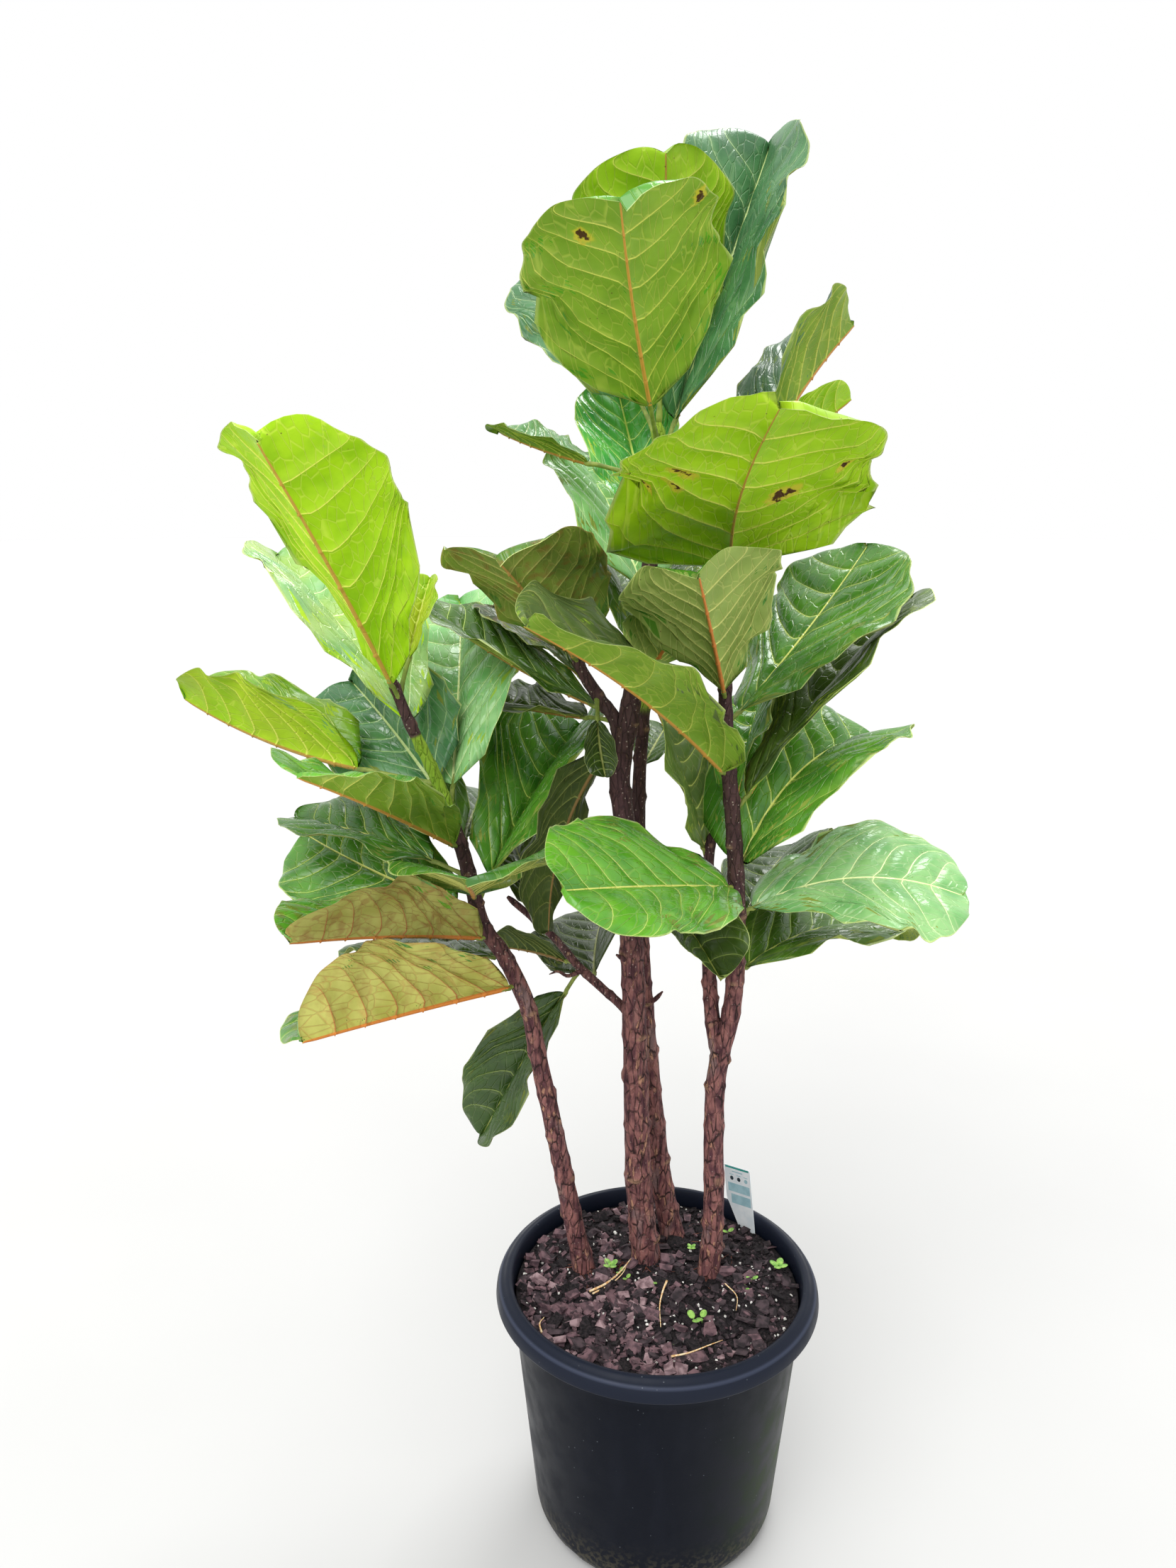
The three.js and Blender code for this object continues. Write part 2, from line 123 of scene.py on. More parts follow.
class Palette:
    """Node-tree helper that every finish paints with."""

    def __init__(self, name: str) -> None:
        """Start an empty material.

        Args:
            name: The material's name.
        """
        self.material = bpy.data.materials.new(name)
        self.material.use_nodes = True
        self.tree = self.material.node_tree
        self.shader = self.tree.nodes["Principled BSDF"]
        self.place = add_node(self.tree, "TexCoord").outputs["Object"]

    def stretched(self, scale: tuple[float, float, float]) -> Socket:
        """Object coordinates scaled differently along each axis."""
        return add_node(self.tree, "Mapping", {"Vector": self.place, "Scale": scale}).outputs["Vector"]

    def noise(self, size_mm: float, detail: float = 3.0, where: Socket | None = None) -> Socket:
        """Soft noise whose lumps are about size_mm across, between 0 and 1."""
        inputs = {"Vector": where or self.place, "Scale": 1 / (size_mm * MM), "Detail": detail}
        return add_node(self.tree, "TexNoise", inputs).outputs["Fac"]

    def cells(self, size_mm: float, feature: str = "F1", where: Socket | None = None) -> Socket:
        """Distance in a pattern of cells about size_mm across, from each cell's middle or to its edge."""
        inputs = {"Vector": where or self.place, "Scale": 1 / (size_mm * MM)}
        return add_node(self.tree, "TexVoronoi", inputs, feature=feature).outputs["Distance"]

    def ramp(self, value: Socket, low: float, high: float, to: tuple[float, float] = (0.0, 1.0)) -> Socket:
        """Value spread smoothly so that low becomes to[0] and high becomes to[1]."""
        inputs = {"Value": value, 1: low, 2: high, 3: to[0], 4: to[1]}
        return add_node(self.tree, "MapRange", inputs, interpolation_type="SMOOTHSTEP").outputs[0]

    def sum(self, first: Socket | float, second: Socket | float) -> Socket:
        """Two numbers added."""
        return add_node(self.tree, "Math", {0: first, 1: second}, operation="ADD").outputs[0]

    def product(self, first: Socket | float, second: Socket | float) -> Socket:
        """Two numbers multiplied."""
        return add_node(self.tree, "Math", {0: first, 1: second}, operation="MULTIPLY").outputs[0]

    def mix(self, below: Socket | str, above: Socket | str, share: Socket | float, blend: str = "MIX") -> Socket:
        """One colour laid over another by a share."""
        inputs = {"Factor": share, 6: below, 7: above}
        return add_node(self.tree, "Mix", inputs, data_type="RGBA", blend_type=blend).outputs[2]

    def attribute(self, name: str, output: str = "Fac") -> Socket:
        """A value painted on the mesh."""
        return add_node(self.tree, "Attribute", None, attribute_name=name).outputs[output]

    def channels(self, name: str) -> tuple[Socket, Socket, Socket, Socket]:
        """The four channels of a colour painted on the mesh.

        Args:
            name: Colour layer.

        Returns:
            Red, green, blue and alpha.
        """
        painted = add_node(self.tree, "Attribute", None, attribute_name=name)
        split = add_node(self.tree, "SeparateColor", {"Color": painted.outputs["Color"]})
        return *split.outputs, painted.outputs["Alpha"]

    def bump(self, height: Socket, depth_mm: float, under: Socket | None = None) -> Socket:
        """Normal that follows a height map of a given depth.

        Args:
            height: Height map.
            depth_mm: Depth where the map is 1.
            under: Normal to add the relief to.

        Returns:
            The normal.
        """
        inputs = {"Height": height, "Distance": depth_mm * MM, "Strength": 1.0}
        if under is not None:
            inputs["Normal"] = under
        return add_node(self.tree, "Bump", inputs).outputs["Normal"]

    def finish(self, colour: Socket | str, roughness: Socket | float, **sockets: object) -> bpy.types.Material:
        """Connect the surface and hand back the material.

        Args:
            colour: Base colour.
            roughness: Roughness.
            sockets: Other Principled inputs by name, with underscores for spaces.

        Returns:
            The finished material.
        """
        wanted = {"Base Color": colour, "Roughness": roughness}
        wanted |= {name.replace("_", " "): value for name, value in sockets.items()}
        fill(self.tree, self.shader, wanted)
        return self.material


@dataclass(frozen=True)
class LeafSkin:
    """One skin of a living fig leaf: a waxy, puckered cuticle over a net of fine veins.

    blade, deep: lighter and darker green of the mottled blade.
    vein, rib: side veins and midrib.
    net: how clearly the cross veins show.
    shine: specular level, lower on a felty underside than on a waxed upper face.
    """

    name: str
    blade: str
    deep: str
    vein: str
    rib: str
    roughness: float = 0.42
    net: float = 0.3
    edge: str = "#b9c77a"
    rust: str = "#7a4a24"
    shine: float = 0.5
    gold: str = "#b7bd30"
    fleck: str = "#54381e"
    dying: str = "#c9b83a"
    dead: str = "#4a2f17"
    mottle_mm: float = 38.0
    gold_mm: float = 55.0
    rust_mm: float = 15.0
    cross_vein_mm: float = 9.5  # real ones stand 3 to 6 mm apart, too fine to show, so they are drawn coarser
    fleck_mm: float = 10.0
    fleck_patch_mm: float = 60.0
    pebble_mm: float = 8.0
    grain_mm: float = 2.4  # real cuticle cells are far finer; this is as fine as can show

    def material(self) -> bpy.types.Material:
        """Leathery cuticle: mottled blade, ladder of cross veins, pale side veins, thick midrib, rolled margin.

        Returns:
            The skin material.
        """
        paint = Palette(self.name)
        vein, rib, edge, halo = paint.channels("marks")
        light, gold, rust, spot = paint.channels("tone")
        colour = paint.mix(self.blade, self.deep, paint.ramp(paint.noise(self.mottle_mm, 3), 0.34, 0.68))
        colour = paint.mix(colour, self.vein, paint.product(halo, 0.16))
        # Cross veins lie on the flat blade, in cells drawn out from midrib to margin.
        ladder = {"Vector": paint.attribute("flat", "Vector"), "Scale": (1.0, 0.42, 1.0)}
        ladder_place = add_node(paint.tree, "Mapping", ladder).outputs["Vector"]
        net = paint.ramp(paint.cells(self.cross_vein_mm, "DISTANCE_TO_EDGE", ladder_place), 0.0, 0.075, (1.0, 0.0))
        colour = paint.mix(colour, self.vein, paint.product(net, self.net))
        # Ageing: golden patches, then rust that creeps over the underside.
        golden = paint.product(gold, paint.ramp(paint.noise(self.gold_mm, 2), 0.3, 0.7))
        colour = paint.mix(colour, self.gold, golden)
        rusty = paint.product(rust, paint.ramp(paint.noise(self.rust_mm, 5), 0.5, 0.66))
        colour = paint.mix(colour, self.rust, paint.product(rusty, 0.8))
        colour = paint.mix(colour, self.vein, paint.ramp(vein, 0.15, 0.7))
        colour = paint.mix(colour, self.rib, paint.ramp(rib, 0.1, 0.6))
        colour = paint.mix(colour, self.edge, paint.ramp(edge, 0.2, 0.9, (0.0, 0.7)))
        # Small brown flecks in a few places, and dead spots with a yellow rim.
        fleck_spread = paint.ramp(paint.noise(self.fleck_patch_mm, 1), 0.5, 0.66)
        fleck = paint.ramp(paint.cells(self.fleck_mm), 0.045, 0.1, (1.0, 0.0))
        colour = paint.mix(colour, self.fleck, paint.product(paint.product(fleck, fleck_spread), 0.8))
        ragged = paint.sum(spot, paint.ramp(paint.noise(5, 3), 0.2, 0.8, (-0.14, 0.14)))
        colour = paint.mix(colour, self.dying, paint.ramp(ragged, 0.25, 0.5, (0.0, 0.8)))
        colour = paint.mix(colour, self.dead, paint.ramp(ragged, 0.56, 0.64))
        # Painted light and shade: the colour is multiplied by each leaf's own brightness, standing in for the light
        # that reaches it.
        shade = add_node(paint.tree, "CombineColor", {0: light, 1: light, 2: light}).outputs[0]
        colour = paint.mix(colour, shade, 1.0, "MULTIPLY")
        grain = paint.bump(paint.noise(self.grain_mm, 3), 0.1)
        relief = paint.bump(paint.sum(paint.product(net, -0.8), paint.noise(self.pebble_mm, 2)), 0.55, grain)
        gloss = paint.ramp(paint.noise(26, 2), 0.3, 0.7, (self.roughness - 0.06, self.roughness + 0.1))
        return paint.finish(colour, gloss, Normal=relief, Specular_IOR_Level=self.shine)


class Upper(Enum):
    """Upper skins: waxed cuticle, glossy at first and duller and darker with age; the darkest are partly painted
    shade.
    """

    # New growth: thin and lime; part of its brightness is a painted glow of the light that shines through it.
    LIME = LeafSkin("new_leaf_upper_painted_glow", "#9cc41a", "#83b212", "#d8e26c", "#dcdf74", 0.36, 0.16, shine=0.35)
    FRESH = LeafSkin("young_leaf_upper", "#64a62c", "#488c22", "#d2df78", "#dadc74", 0.24, 0.12)
    # Fully waxed: clear highlights.
    GLOSSY = LeafSkin("glossy_leaf_upper", "#4c9a3c", "#348038", "#c6dc7c", "#d2df80", 0.18, 0.1)
    # Waxed faces turned to the open sky: their pale or bluish colour is a painted reflection of the sky.
    PALE = LeafSkin("pale_painted_sky_sheen_leaf_upper", "#83b070", "#649c5a", "#d6e4aa", "#e0e8ac", 0.2, 0.14)
    SKY = LeafSkin("blue_painted_sky_sheen_leaf_upper", "#4f8250", "#38693f", "#b4cf94", "#c8d698", 0.3, 0.12)
    # Grown leaves, from the open crown down to the shaded middle; the darker greens are partly painted shade.
    MID = LeafSkin("grown_leaf_upper", "#4c8224", "#35691d", "#c2d26c", "#d2d674", 0.22, 0.1)
    OLIVE = LeafSkin("olive_leaf_upper", "#5d7434", "#4b622a", "#b8bd68", "#c4bf6c", 0.4, 0.14)
    DEEP = LeafSkin("shaded_leaf_upper", "#476b20", "#355619", "#a6bc62", "#bcc46c", 0.27, 0.1)
    DARK = LeafSkin("old_leaf_upper_painted_shade", "#3d5618", "#2e4512", "#8da056", "#a6ac60", 0.32, 0.1)


class Under(Enum):
    """Undersides: matt and felty, with a raised midrib that browns with age."""

    # New growth: lime, and almost as bright as the upper face, partly through a painted glow of the light that shines
    # through it.
    LIME = LeafSkin("new_leaf_underside_painted_glow", "#9dc816", "#88b60e", "#dde663", "#b58f3c", 0.46, 0.26, shine=0.2)
    OLIVE_LIME = LeafSkin("young_leaf_underside", "#88a836", "#76982e", "#d9dd6a", "#cf9446", 0.5, 0.26, shine=0.25)
    # Grown: grey-green felt.
    GREY_OLIVE = LeafSkin("felty_leaf_underside", "#889c4c", "#778c3f", "#cdd07a", "#bd7437", 0.55, 0.26, shine=0.25)
    OLIVE = LeafSkin("grown_leaf_underside", "#748633", "#64772b", "#c2c466", "#b58548", 0.52, 0.26, shine=0.25)
    DEEP = LeafSkin("shaded_leaf_underside", "#536827", "#455921", "#96a154", "#a08048", 0.55, 0.22, shine=0.25)
    # Old: rust-brown felt between orange veins.
    RUST_OLIVE = LeafSkin(
        "aged_leaf_underside", "#66752c", "#566526", "#979650", "#97733c", 0.55, 0.26, "#9a8a50", "#6e3d1e", 0.25
    )
    RUST = LeafSkin(
        "rusty_leaf_underside", "#aaa95a", "#969546", "#a0653a", "#b8702e", 0.55, 0.3, "#a88a50", "#86552f", 0.25
    )


@dataclass(frozen=True)
class BarkSkin:
    """Fig bark: rough, reddish and flaking when old, smooth and dark with pale pores when young."""

    name: str = "flaking_fig_bark"
    old: str = "#93625d"
    old_dark: str = "#533238"
    crack: str = "#2a1818"
    flake: str = "#bd8d72"
    film: str = "#8f7c79"
    young: str = "#443032"
    green: str = "#8fae34"
    pore: str = "#b9a79b"
    scar: str = "#a98669"
    draw_out: tuple[float, float, float] = (1.0, 1.0, 0.34)  # cracks and flakes are three times as tall as wide
    grain_mm: float = 7.0
    film_mm: float = 24.0
    flake_mm: float = 5.5
    flake_patch_mm: float = 48.0
    crack_mm: float = 7.5
    pore_mm: float = 5.5  # real pores stand 2 to 4 mm apart; wider here, so that each one shows

    def material(self) -> bpy.types.Material:
        """Weathered bark: vertical cracks, rusty flakes, a grey film, and pale pores up the young stem.

        Returns:
            The bark material.
        """
        paint = Palette(self.name)
        age, scar, tip, _ = paint.channels("marks")
        drawn = paint.stretched(self.draw_out)
        grain = paint.noise(self.grain_mm, 5, drawn)
        wood = paint.mix(self.old_dark, self.old, paint.ramp(grain, 0.34, 0.66))
        wood = paint.mix(wood, self.film, paint.ramp(paint.noise(self.film_mm, 4, drawn), 0.56, 0.7, (0.0, 0.5)))
        patches = paint.ramp(paint.noise(self.flake_patch_mm, 2, drawn), 0.44, 0.58)
        flaking = paint.ramp(paint.noise(self.flake_mm, 5, drawn), 0.57, 0.63)
        wood = paint.mix(wood, self.flake, paint.product(paint.product(flaking, patches), 0.85))
        split = paint.ramp(paint.cells(self.crack_mm, "DISTANCE_TO_EDGE", drawn), 0.0, 0.11, (1.0, 0.0))
        wood = paint.mix(wood, self.crack, paint.product(split, paint.ramp(paint.noise(12, 3), 0.4, 0.6)))
        skin = paint.mix(wood, self.young, paint.ramp(age, 0.3, 0.85, (0.0, 0.85)))
        pores = paint.ramp(paint.cells(self.pore_mm), 0.1, 0.2, (1.0, 0.0))
        skin = paint.mix(skin, self.pore, paint.product(pores, paint.ramp(age, 0.2, 0.6, (0.3, 0.75))))
        skin = paint.mix(skin, self.scar, paint.ramp(scar, 0.45, 0.9, (0.0, 0.65)))
        skin = paint.mix(skin, self.green, paint.ramp(tip, 0.15, 0.7))
        rough_skin = paint.bump(paint.noise(2.2, 4, drawn), 0.9)
        relief = paint.sum(paint.sum(grain, flaking), paint.product(split, -1.0))
        dull = paint.ramp(grain, 0.3, 0.7, (0.9, 0.68))
        return paint.finish(skin, dull, Normal=paint.bump(relief, 1.4, rough_skin), Specular_IOR_Level=0.3)


@dataclass(frozen=True)
class PlainSkin:
    """A matt natural surface with two mottled colours and a little grain."""

    name: str
    light: str
    dark: str
    lump_mm: float
    roughness: float
    depth_mm: float = 0.4

    def material(self) -> bpy.types.Material:
        """Mottle at the size of the stuff's own lumps, with a matching bump.

        Returns:
            The material.
        """
        paint = Palette(self.name)
        lumps = paint.noise(self.lump_mm, 4)
        colour = paint.mix(self.dark, self.light, paint.ramp(lumps, 0.35, 0.65))
        grain = paint.bump(paint.noise(self.lump_mm / 3, 3), self.depth_mm)
        return paint.finish(colour, self.roughness, Normal=grain, Specular_IOR_Level=0.35)


@dataclass(frozen=True)
class PotSkin:
    """Injection-moulded polypropylene: satin black, with a lip painted lighter as sheen and a painted highlight along
    its crease, dust, splashes and a little algae low down.
    """

    name: str = "moulded_black_polypropylene"
    plastic: str = "#060b17"
    washed: str = "#161a26"
    # The lip colour is painted sheen, lighter and bluer than the wall; the colour after it is a painted highlight
    # along the lip's crease.
    lip: str = "#1b202d"
    painted_crease_highlight: str = "#4a5166"
    dust: str = "#6a7078"
    algae: str = "#415a14"
    mud: str = "#55503f"
    wash_mm: float = 24.0
    speck_mm: float = 9.0
    algae_mm: float = 30.0
    mud_mm: float = 6.0
    grain_mm: float = 1.6  # the mould's fine spark grain, drawn coarse enough to break up the highlights

    def material(self) -> bpy.types.Material:
        """Satin plastic: faint vertical wash marks, dust specks and a green tint where water dries.

        Returns:
            The plastic.
        """
        paint = Palette(self.name)
        drawn = paint.stretched((1.0, 1.0, 0.25))
        wash = paint.ramp(paint.noise(self.wash_mm, 4, drawn), 0.42, 0.75, (0.0, 0.25))
        # The first channel is a painted highlight along the lip's crease; the last marks the lip, painted lighter as
        # sheen.
        edge, moss, splash, painted_lip_sheen = paint.channels("marks")
        colour = paint.mix(self.plastic, self.washed, wash)
        colour = paint.mix(colour, self.lip, painted_lip_sheen)
        colour = paint.mix(colour, self.painted_crease_highlight, paint.ramp(edge, 0.2, 1.0, (0.0, 0.5)))
        speck = paint.ramp(paint.cells(self.speck_mm), 0.05, 0.1, (1.0, 0.0))
        speck_spread = paint.ramp(paint.noise(40, 2), 0.5, 0.68)
        colour = paint.mix(colour, self.dust, paint.product(speck, speck_spread))
        green = paint.product(moss, paint.ramp(paint.noise(self.algae_mm, 5), 0.34, 0.74))
        colour = paint.mix(colour, self.algae, paint.product(green, 0.55))
        mud = paint.product(splash, paint.ramp(paint.noise(self.mud_mm, 5), 0.46, 0.6))
        colour = paint.mix(colour, self.mud, paint.product(mud, 0.6))
        gloss = paint.ramp(paint.noise(30, 4), 0.3, 0.7, (0.34, 0.48))
        relief = paint.bump(paint.noise(self.grain_mm, 2), 0.05)
        return paint.finish(colour, gloss, Normal=relief, Specular_IOR_Level=0.12)


# ---------------------------------------------------------------- mesh helpers


def smoothstep(low: float, high: float, value: float) -> float:
    """Smooth climb from 0 at low to 1 at high."""
    share = min(1.0, max(0.0, (value - low) / (high - low)))
    return share * share * (3 - 2 * share)


def blend(start: float, end: float, share: float) -> float:
    """Straight mix of two numbers."""
    return start + (end - start) * share


def rough(place: Vector, size: float, seed: float = 0.0) -> float:
    """Gentle random value between -1 and 1 that changes over a distance of size."""
    return noise.noise(place / size + Vector((seed * 7.3, seed * 3.1, seed * 5.7)))


@dataclass
class Piece:
    """A mesh under construction with the marks that its finishes read."""

    name: str

    def __post_init__(self) -> None:
        """Start an empty mesh with its painted layers."""
        self.bm = bmesh.new()
        self.marks = self.bm.verts.layers.float_color.new("marks")
        self.tone = self.bm.verts.layers.float_color.new("tone")
        self.flat = self.bm.verts.layers.float_vector.new("flat")
        self.skins: list[bpy.types.Material] = []

    def grid(self, rows: int, columns: int, place: Callable[[int, int], Vector]) -> dict[bmesh.types.BMVert, tuple]:
        """Add a sheet of quads and move each of its corners.

        Args:
            rows: Corners along the sheet.
            columns: Corners across it.
            place: Where the corner in a row and column goes.

        Returns:
            Row and column of each new corner.
        """
        made = bmesh.ops.create_grid(self.bm, x_segments=columns - 1, y_segments=rows - 1, size=1.0)
        spots = {}
        for corner in made["verts"]:
            row = round((corner.co.y + 1) / 2 * (rows - 1))
            column = round((corner.co.x + 1) / 2 * (columns - 1))
            spots[corner] = (row, column)
            corner.co = place(row, column)
        return spots

    def tube(self, line: Sequence[Vector], reach: Callable[[int, float], float], sides: int, skin: int = 0) -> dict:
        """Add a closed tube along a line.

        Args:
            line: Points of its centre line.
            reach: Radius in a row at an angle.
            sides: Corners round it.
            skin: Material index of its faces.

        Returns:
            Row and column of each of its corners.
        """
        frames = self.frames(line)
        last = len(line) + 1

        def place(row: int, column: int) -> Vector:
            """Corner of the tube; the first and last rows are single points on the centre line.

            Args:
                row: Row along the tube.
                column: Column round it.

            Returns:
                The corner.
            """
            at = min(max(row - 1, 0), len(line) - 1)
            if row in (0, last):
                return line[at].copy()
            angle = 2 * math.pi * (column % sides) / sides
            across, beside = frames[at]
            return line[at] + (across * math.cos(angle) + beside * math.sin(angle)) * reach(at, angle)

        spots = self.grid(last + 1, sides + 1, place)
        self.dress(spots, skin)
        return spots

    @staticmethod
    def frames(line: Sequence[Vector]) -> list[tuple[Vector, Vector]]:
        """Two directions square to a line at each of its points, turned as little as possible along it.

        Args:
            line: Points of the line.

        Returns:
            Two unit directions at each point.
        """
        made = []
        across = Vector((1, 0, 0))
        for i in range(len(line)):
            ahead = (line[min(i + 1, len(line) - 1)] - line[max(i - 1, 0)]).normalized()
            across = across - ahead * across.dot(ahead)
            if across.length < 1e-3:
                across = ahead.orthogonal()
            across.normalize()
            made.append((across.copy(), ahead.cross(across)))
        return made

    def scale_to_metres(self) -> None:
        """Turn a mesh drawn in millimetres into metres."""
        bmesh.ops.transform(self.bm, matrix=Matrix.Scale(MM, 4), verts=self.bm.verts)

    @staticmethod
    def dress(corners: Iterable[bmesh.types.BMVert], skin: int) -> None:
        """Give the faces at some corners a material index."""
        for face in {face for corner in corners for face in corner.link_faces}:
            face.material_index = skin

    def weld(self, corners: Sequence[bmesh.types.BMVert], distance: float = 1e-3) -> None:
        """Join corners that lie on each other."""
        bmesh.ops.remove_doubles(self.bm, verts=list(corners), dist=distance)

    def face_outwards(self) -> None:
        """Recalculate the normals, then turn round any closed shell that is still inside out."""
        bmesh.ops.recalc_face_normals(self.bm, faces=self.bm.faces)
        left = set(self.bm.faces)
        while left:
            shell, edge = [], [left.pop()]
            while edge:
                face = edge.pop()
                shell.append(face)
                near = {other for side in face.edges for other in side.link_faces} & left
                left -= near
                edge.extend(near)
            if self.volume(shell) < 0:
                bmesh.ops.reverse_faces(self.bm, faces=shell)

    @staticmethod
    def volume(shell: Sequence[bmesh.types.BMFace]) -> float:
        """Six times the volume inside a closed shell, negative if its faces point inwards.

        Args:
            shell: Faces of one closed shell.

        Returns:
            The volume times six.
        """
        middle = shell[0].verts[0].co.copy()
        total = 0.0
        for face in shell:
            first, *rest = (corner.co - middle for corner in face.verts)
            total += sum(first.dot(one.cross(two)) for one, two in zip(rest, rest[1:]))
        return total

    def finish(self, replaced: Sequence[str], slot: str, smooth: bool = True) -> bpy.types.Object:
        """Turn the mesh into an object that rides on the frame.

        Args:
            replaced: CAD nodes that it stands for.
            slot: Material slot of the record.
            smooth: Whether its faces are shaded smooth.

        Returns:
            The finished object.
        """
        self.face_outwards()
        for face in self.bm.faces:
            face.smooth = smooth
        mesh = bpy.data.meshes.new(self.name)
        self.bm.to_mesh(mesh)
        self.bm.free()
        for skin in self.skins:
            mesh.materials.append(skin)
        made = bpy.data.objects.new(self.name, mesh)
        bpy.context.scene.collection.objects.link(made)
        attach(made, BODY)
        if replaced:
            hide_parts(*replaced)
        LOG.info("%s: %d faces, slot %s", self.name, len(mesh.polygons), slot)
        return made


# ---------------------------------------------------------------- stems


@dataclass
class Limb:
    """A stem or branch: a smooth round line from its foot to its tip. Millimetres."""

    radii: tuple[float, float]
    path: tuple[tuple[float, float, float], ...]
    parent: str = ""

    def point(self, share: float) -> Vector:
        """Point on the axis, on a centripetal curve through the path.

        Args:
            share: 0 at the foot and 1 at the tip.

        Returns:
            The point.
        """
        points = [Vector(p) for p in self.path]
        points = [points[0] * 2 - points[1], *points, points[-1] * 2 - points[-2]]
        spans = len(points) - 3
        span = min(int(share * spans), spans - 1)
        weight = share * spans - span
        before, start, end, after = points[span : span + 4]
        first = (start - before).length ** 0.5
        middle = (end - start).length ** 0.5
        last = (after - end).length ** 0.5
        leave = ((start - before) / first - (end - before) / (first + middle) + (end - start) / middle) * middle
        arrive = ((end - start) / middle - (after - start) / (middle + last) + (after - end) / last) * middle
        square, cube = weight**2, weight**3
        return (
            start * (2 * cube - 3 * square + 1)
            + leave * (cube - 2 * square + weight)
            + end * (3 * square - 2 * cube)
            + arrive * (cube - square)
        )

    def at_height(self, height: float) -> Vector:
        """Point on the axis at a height, found by halving.

        Args:
            height: Height in millimetres.

        Returns:
            The point.
        """
        low, high = 0.0, 1.0
        for _ in range(30):  # halvings, far past a thousandth of a millimetre
            middle = (low + high) / 2
            if self.point(middle).z < height:
                low = middle
            else:
                high = middle
        return self.point(low)

    def line(self, spacing: float) -> list[Vector]:
        """Evenly spaced points along the axis, from the foot to the tip.

        Args:
            spacing: Distance between points.

        Returns:
            The points.
        """
        steps = 240
        coarse = [self.point(i / steps) for i in range(steps + 1)]
        made, travelled = [coarse[0]], 0.0
        for before, after in zip(coarse, coarse[1:]):
            travelled += (after - before).length
            if travelled >= spacing:
                made.append(after)
                travelled = 0.0
        if (made[-1] - coarse[-1]).length > 0.3 * spacing:
            made.append(coarse[-1])
        return made


LIMBS = {
    "left": Limb(
        (13.5, 6),
        (
            (-70, 35, 205),
            (-89, 30, 302),
            (-113, 22, 436),
            (-134, 14, 551),
            (-146, 10, 618),
            (-158, 6, 685),
            (-184, 2, 748),
            (-207, 0, 785),
            (-225, -5, 865),
            (-252, -11, 956),
            (-284, -16, 1033),
            (-300, -18, 1080),
        ),
    ),
    "centre": Limb(
        (19, 7),
        (
            (-4, 48, 205),
            (-10, 46, 302),
            (-21, 44, 422),
            (-27, 41, 574),
            (-32, 38, 718),
            (-43, 34, 896),
            (-49, 33, 952),
            (-41, 32, 1014),
            (-26, 30, 1115),
            (-17, 28, 1208),
            (-12, 27, 1268),
            (-10, 25, 1345),
        ),
    ),
    "rear": Limb(
        (16, 7),
        (
            (40, 95, 205),
            (28, 98, 302),
            (11, 100, 394),
            (-7, 103, 560),
            (-18, 106, 704),
            (-19, 108, 797),
            (-24, 110, 888),
            (-21, 112, 977),
            (-13, 113, 1075),
        ),
    ),
    "right": Limb(
        (14.5, 6),
        (
            (60, 21, 205),
            (66, 19, 302),
            (71, 17, 382),
            (68, 13, 552),
            (72, 11, 610),
            (85, 10, 678),
            (88, 7, 767),
            (81, 4, 890),
            (73, 2, 962),
            (66, 0, 1051),
            (69, -2, 1134),
            (72, -5, 1275),
        ),
    ),
    "right_limb": Limb(
        (10, 6),
        ((72, 11, 615), (64, 18, 657), (61, 23, 689), (59, 28, 722), (61, 36, 767), (57, 49, 844), (62, 52, 885)),
        "right",
    ),
    "crown_branch": Limb(
        (9, 6),
        ((-46, 34, 970), (-55, 35, 1020), (-73, 35, 1046), (-93, 35, 1078), (-106, 35, 1115)),
        "centre",
    ),
    "low_twig": Limb(
        (6, 4),
        ((-31, 39, 640), (-40, 42, 660), (-67, 49, 685), (-99, 56, 714), (-128, 64, 747), (-184, 75, 795)),
        "centre",
    ),
    "dead_spur": Limb((3.2, 1.2), ((-92, 54, 708), (-110, 40, 706), (-122, 30, 716), (-132, 26, 714)), "centre"),
    "snag": Limb((4.5, 2.6), ((-32, 38, 722), (-44, 26, 734), (-52, 18, 742)), "centre"),
    "rear_snag": Limb((4, 2.4), ((-16, 106, 640), (-2, 96, 650), (8, 90, 664)), "rear"),
}


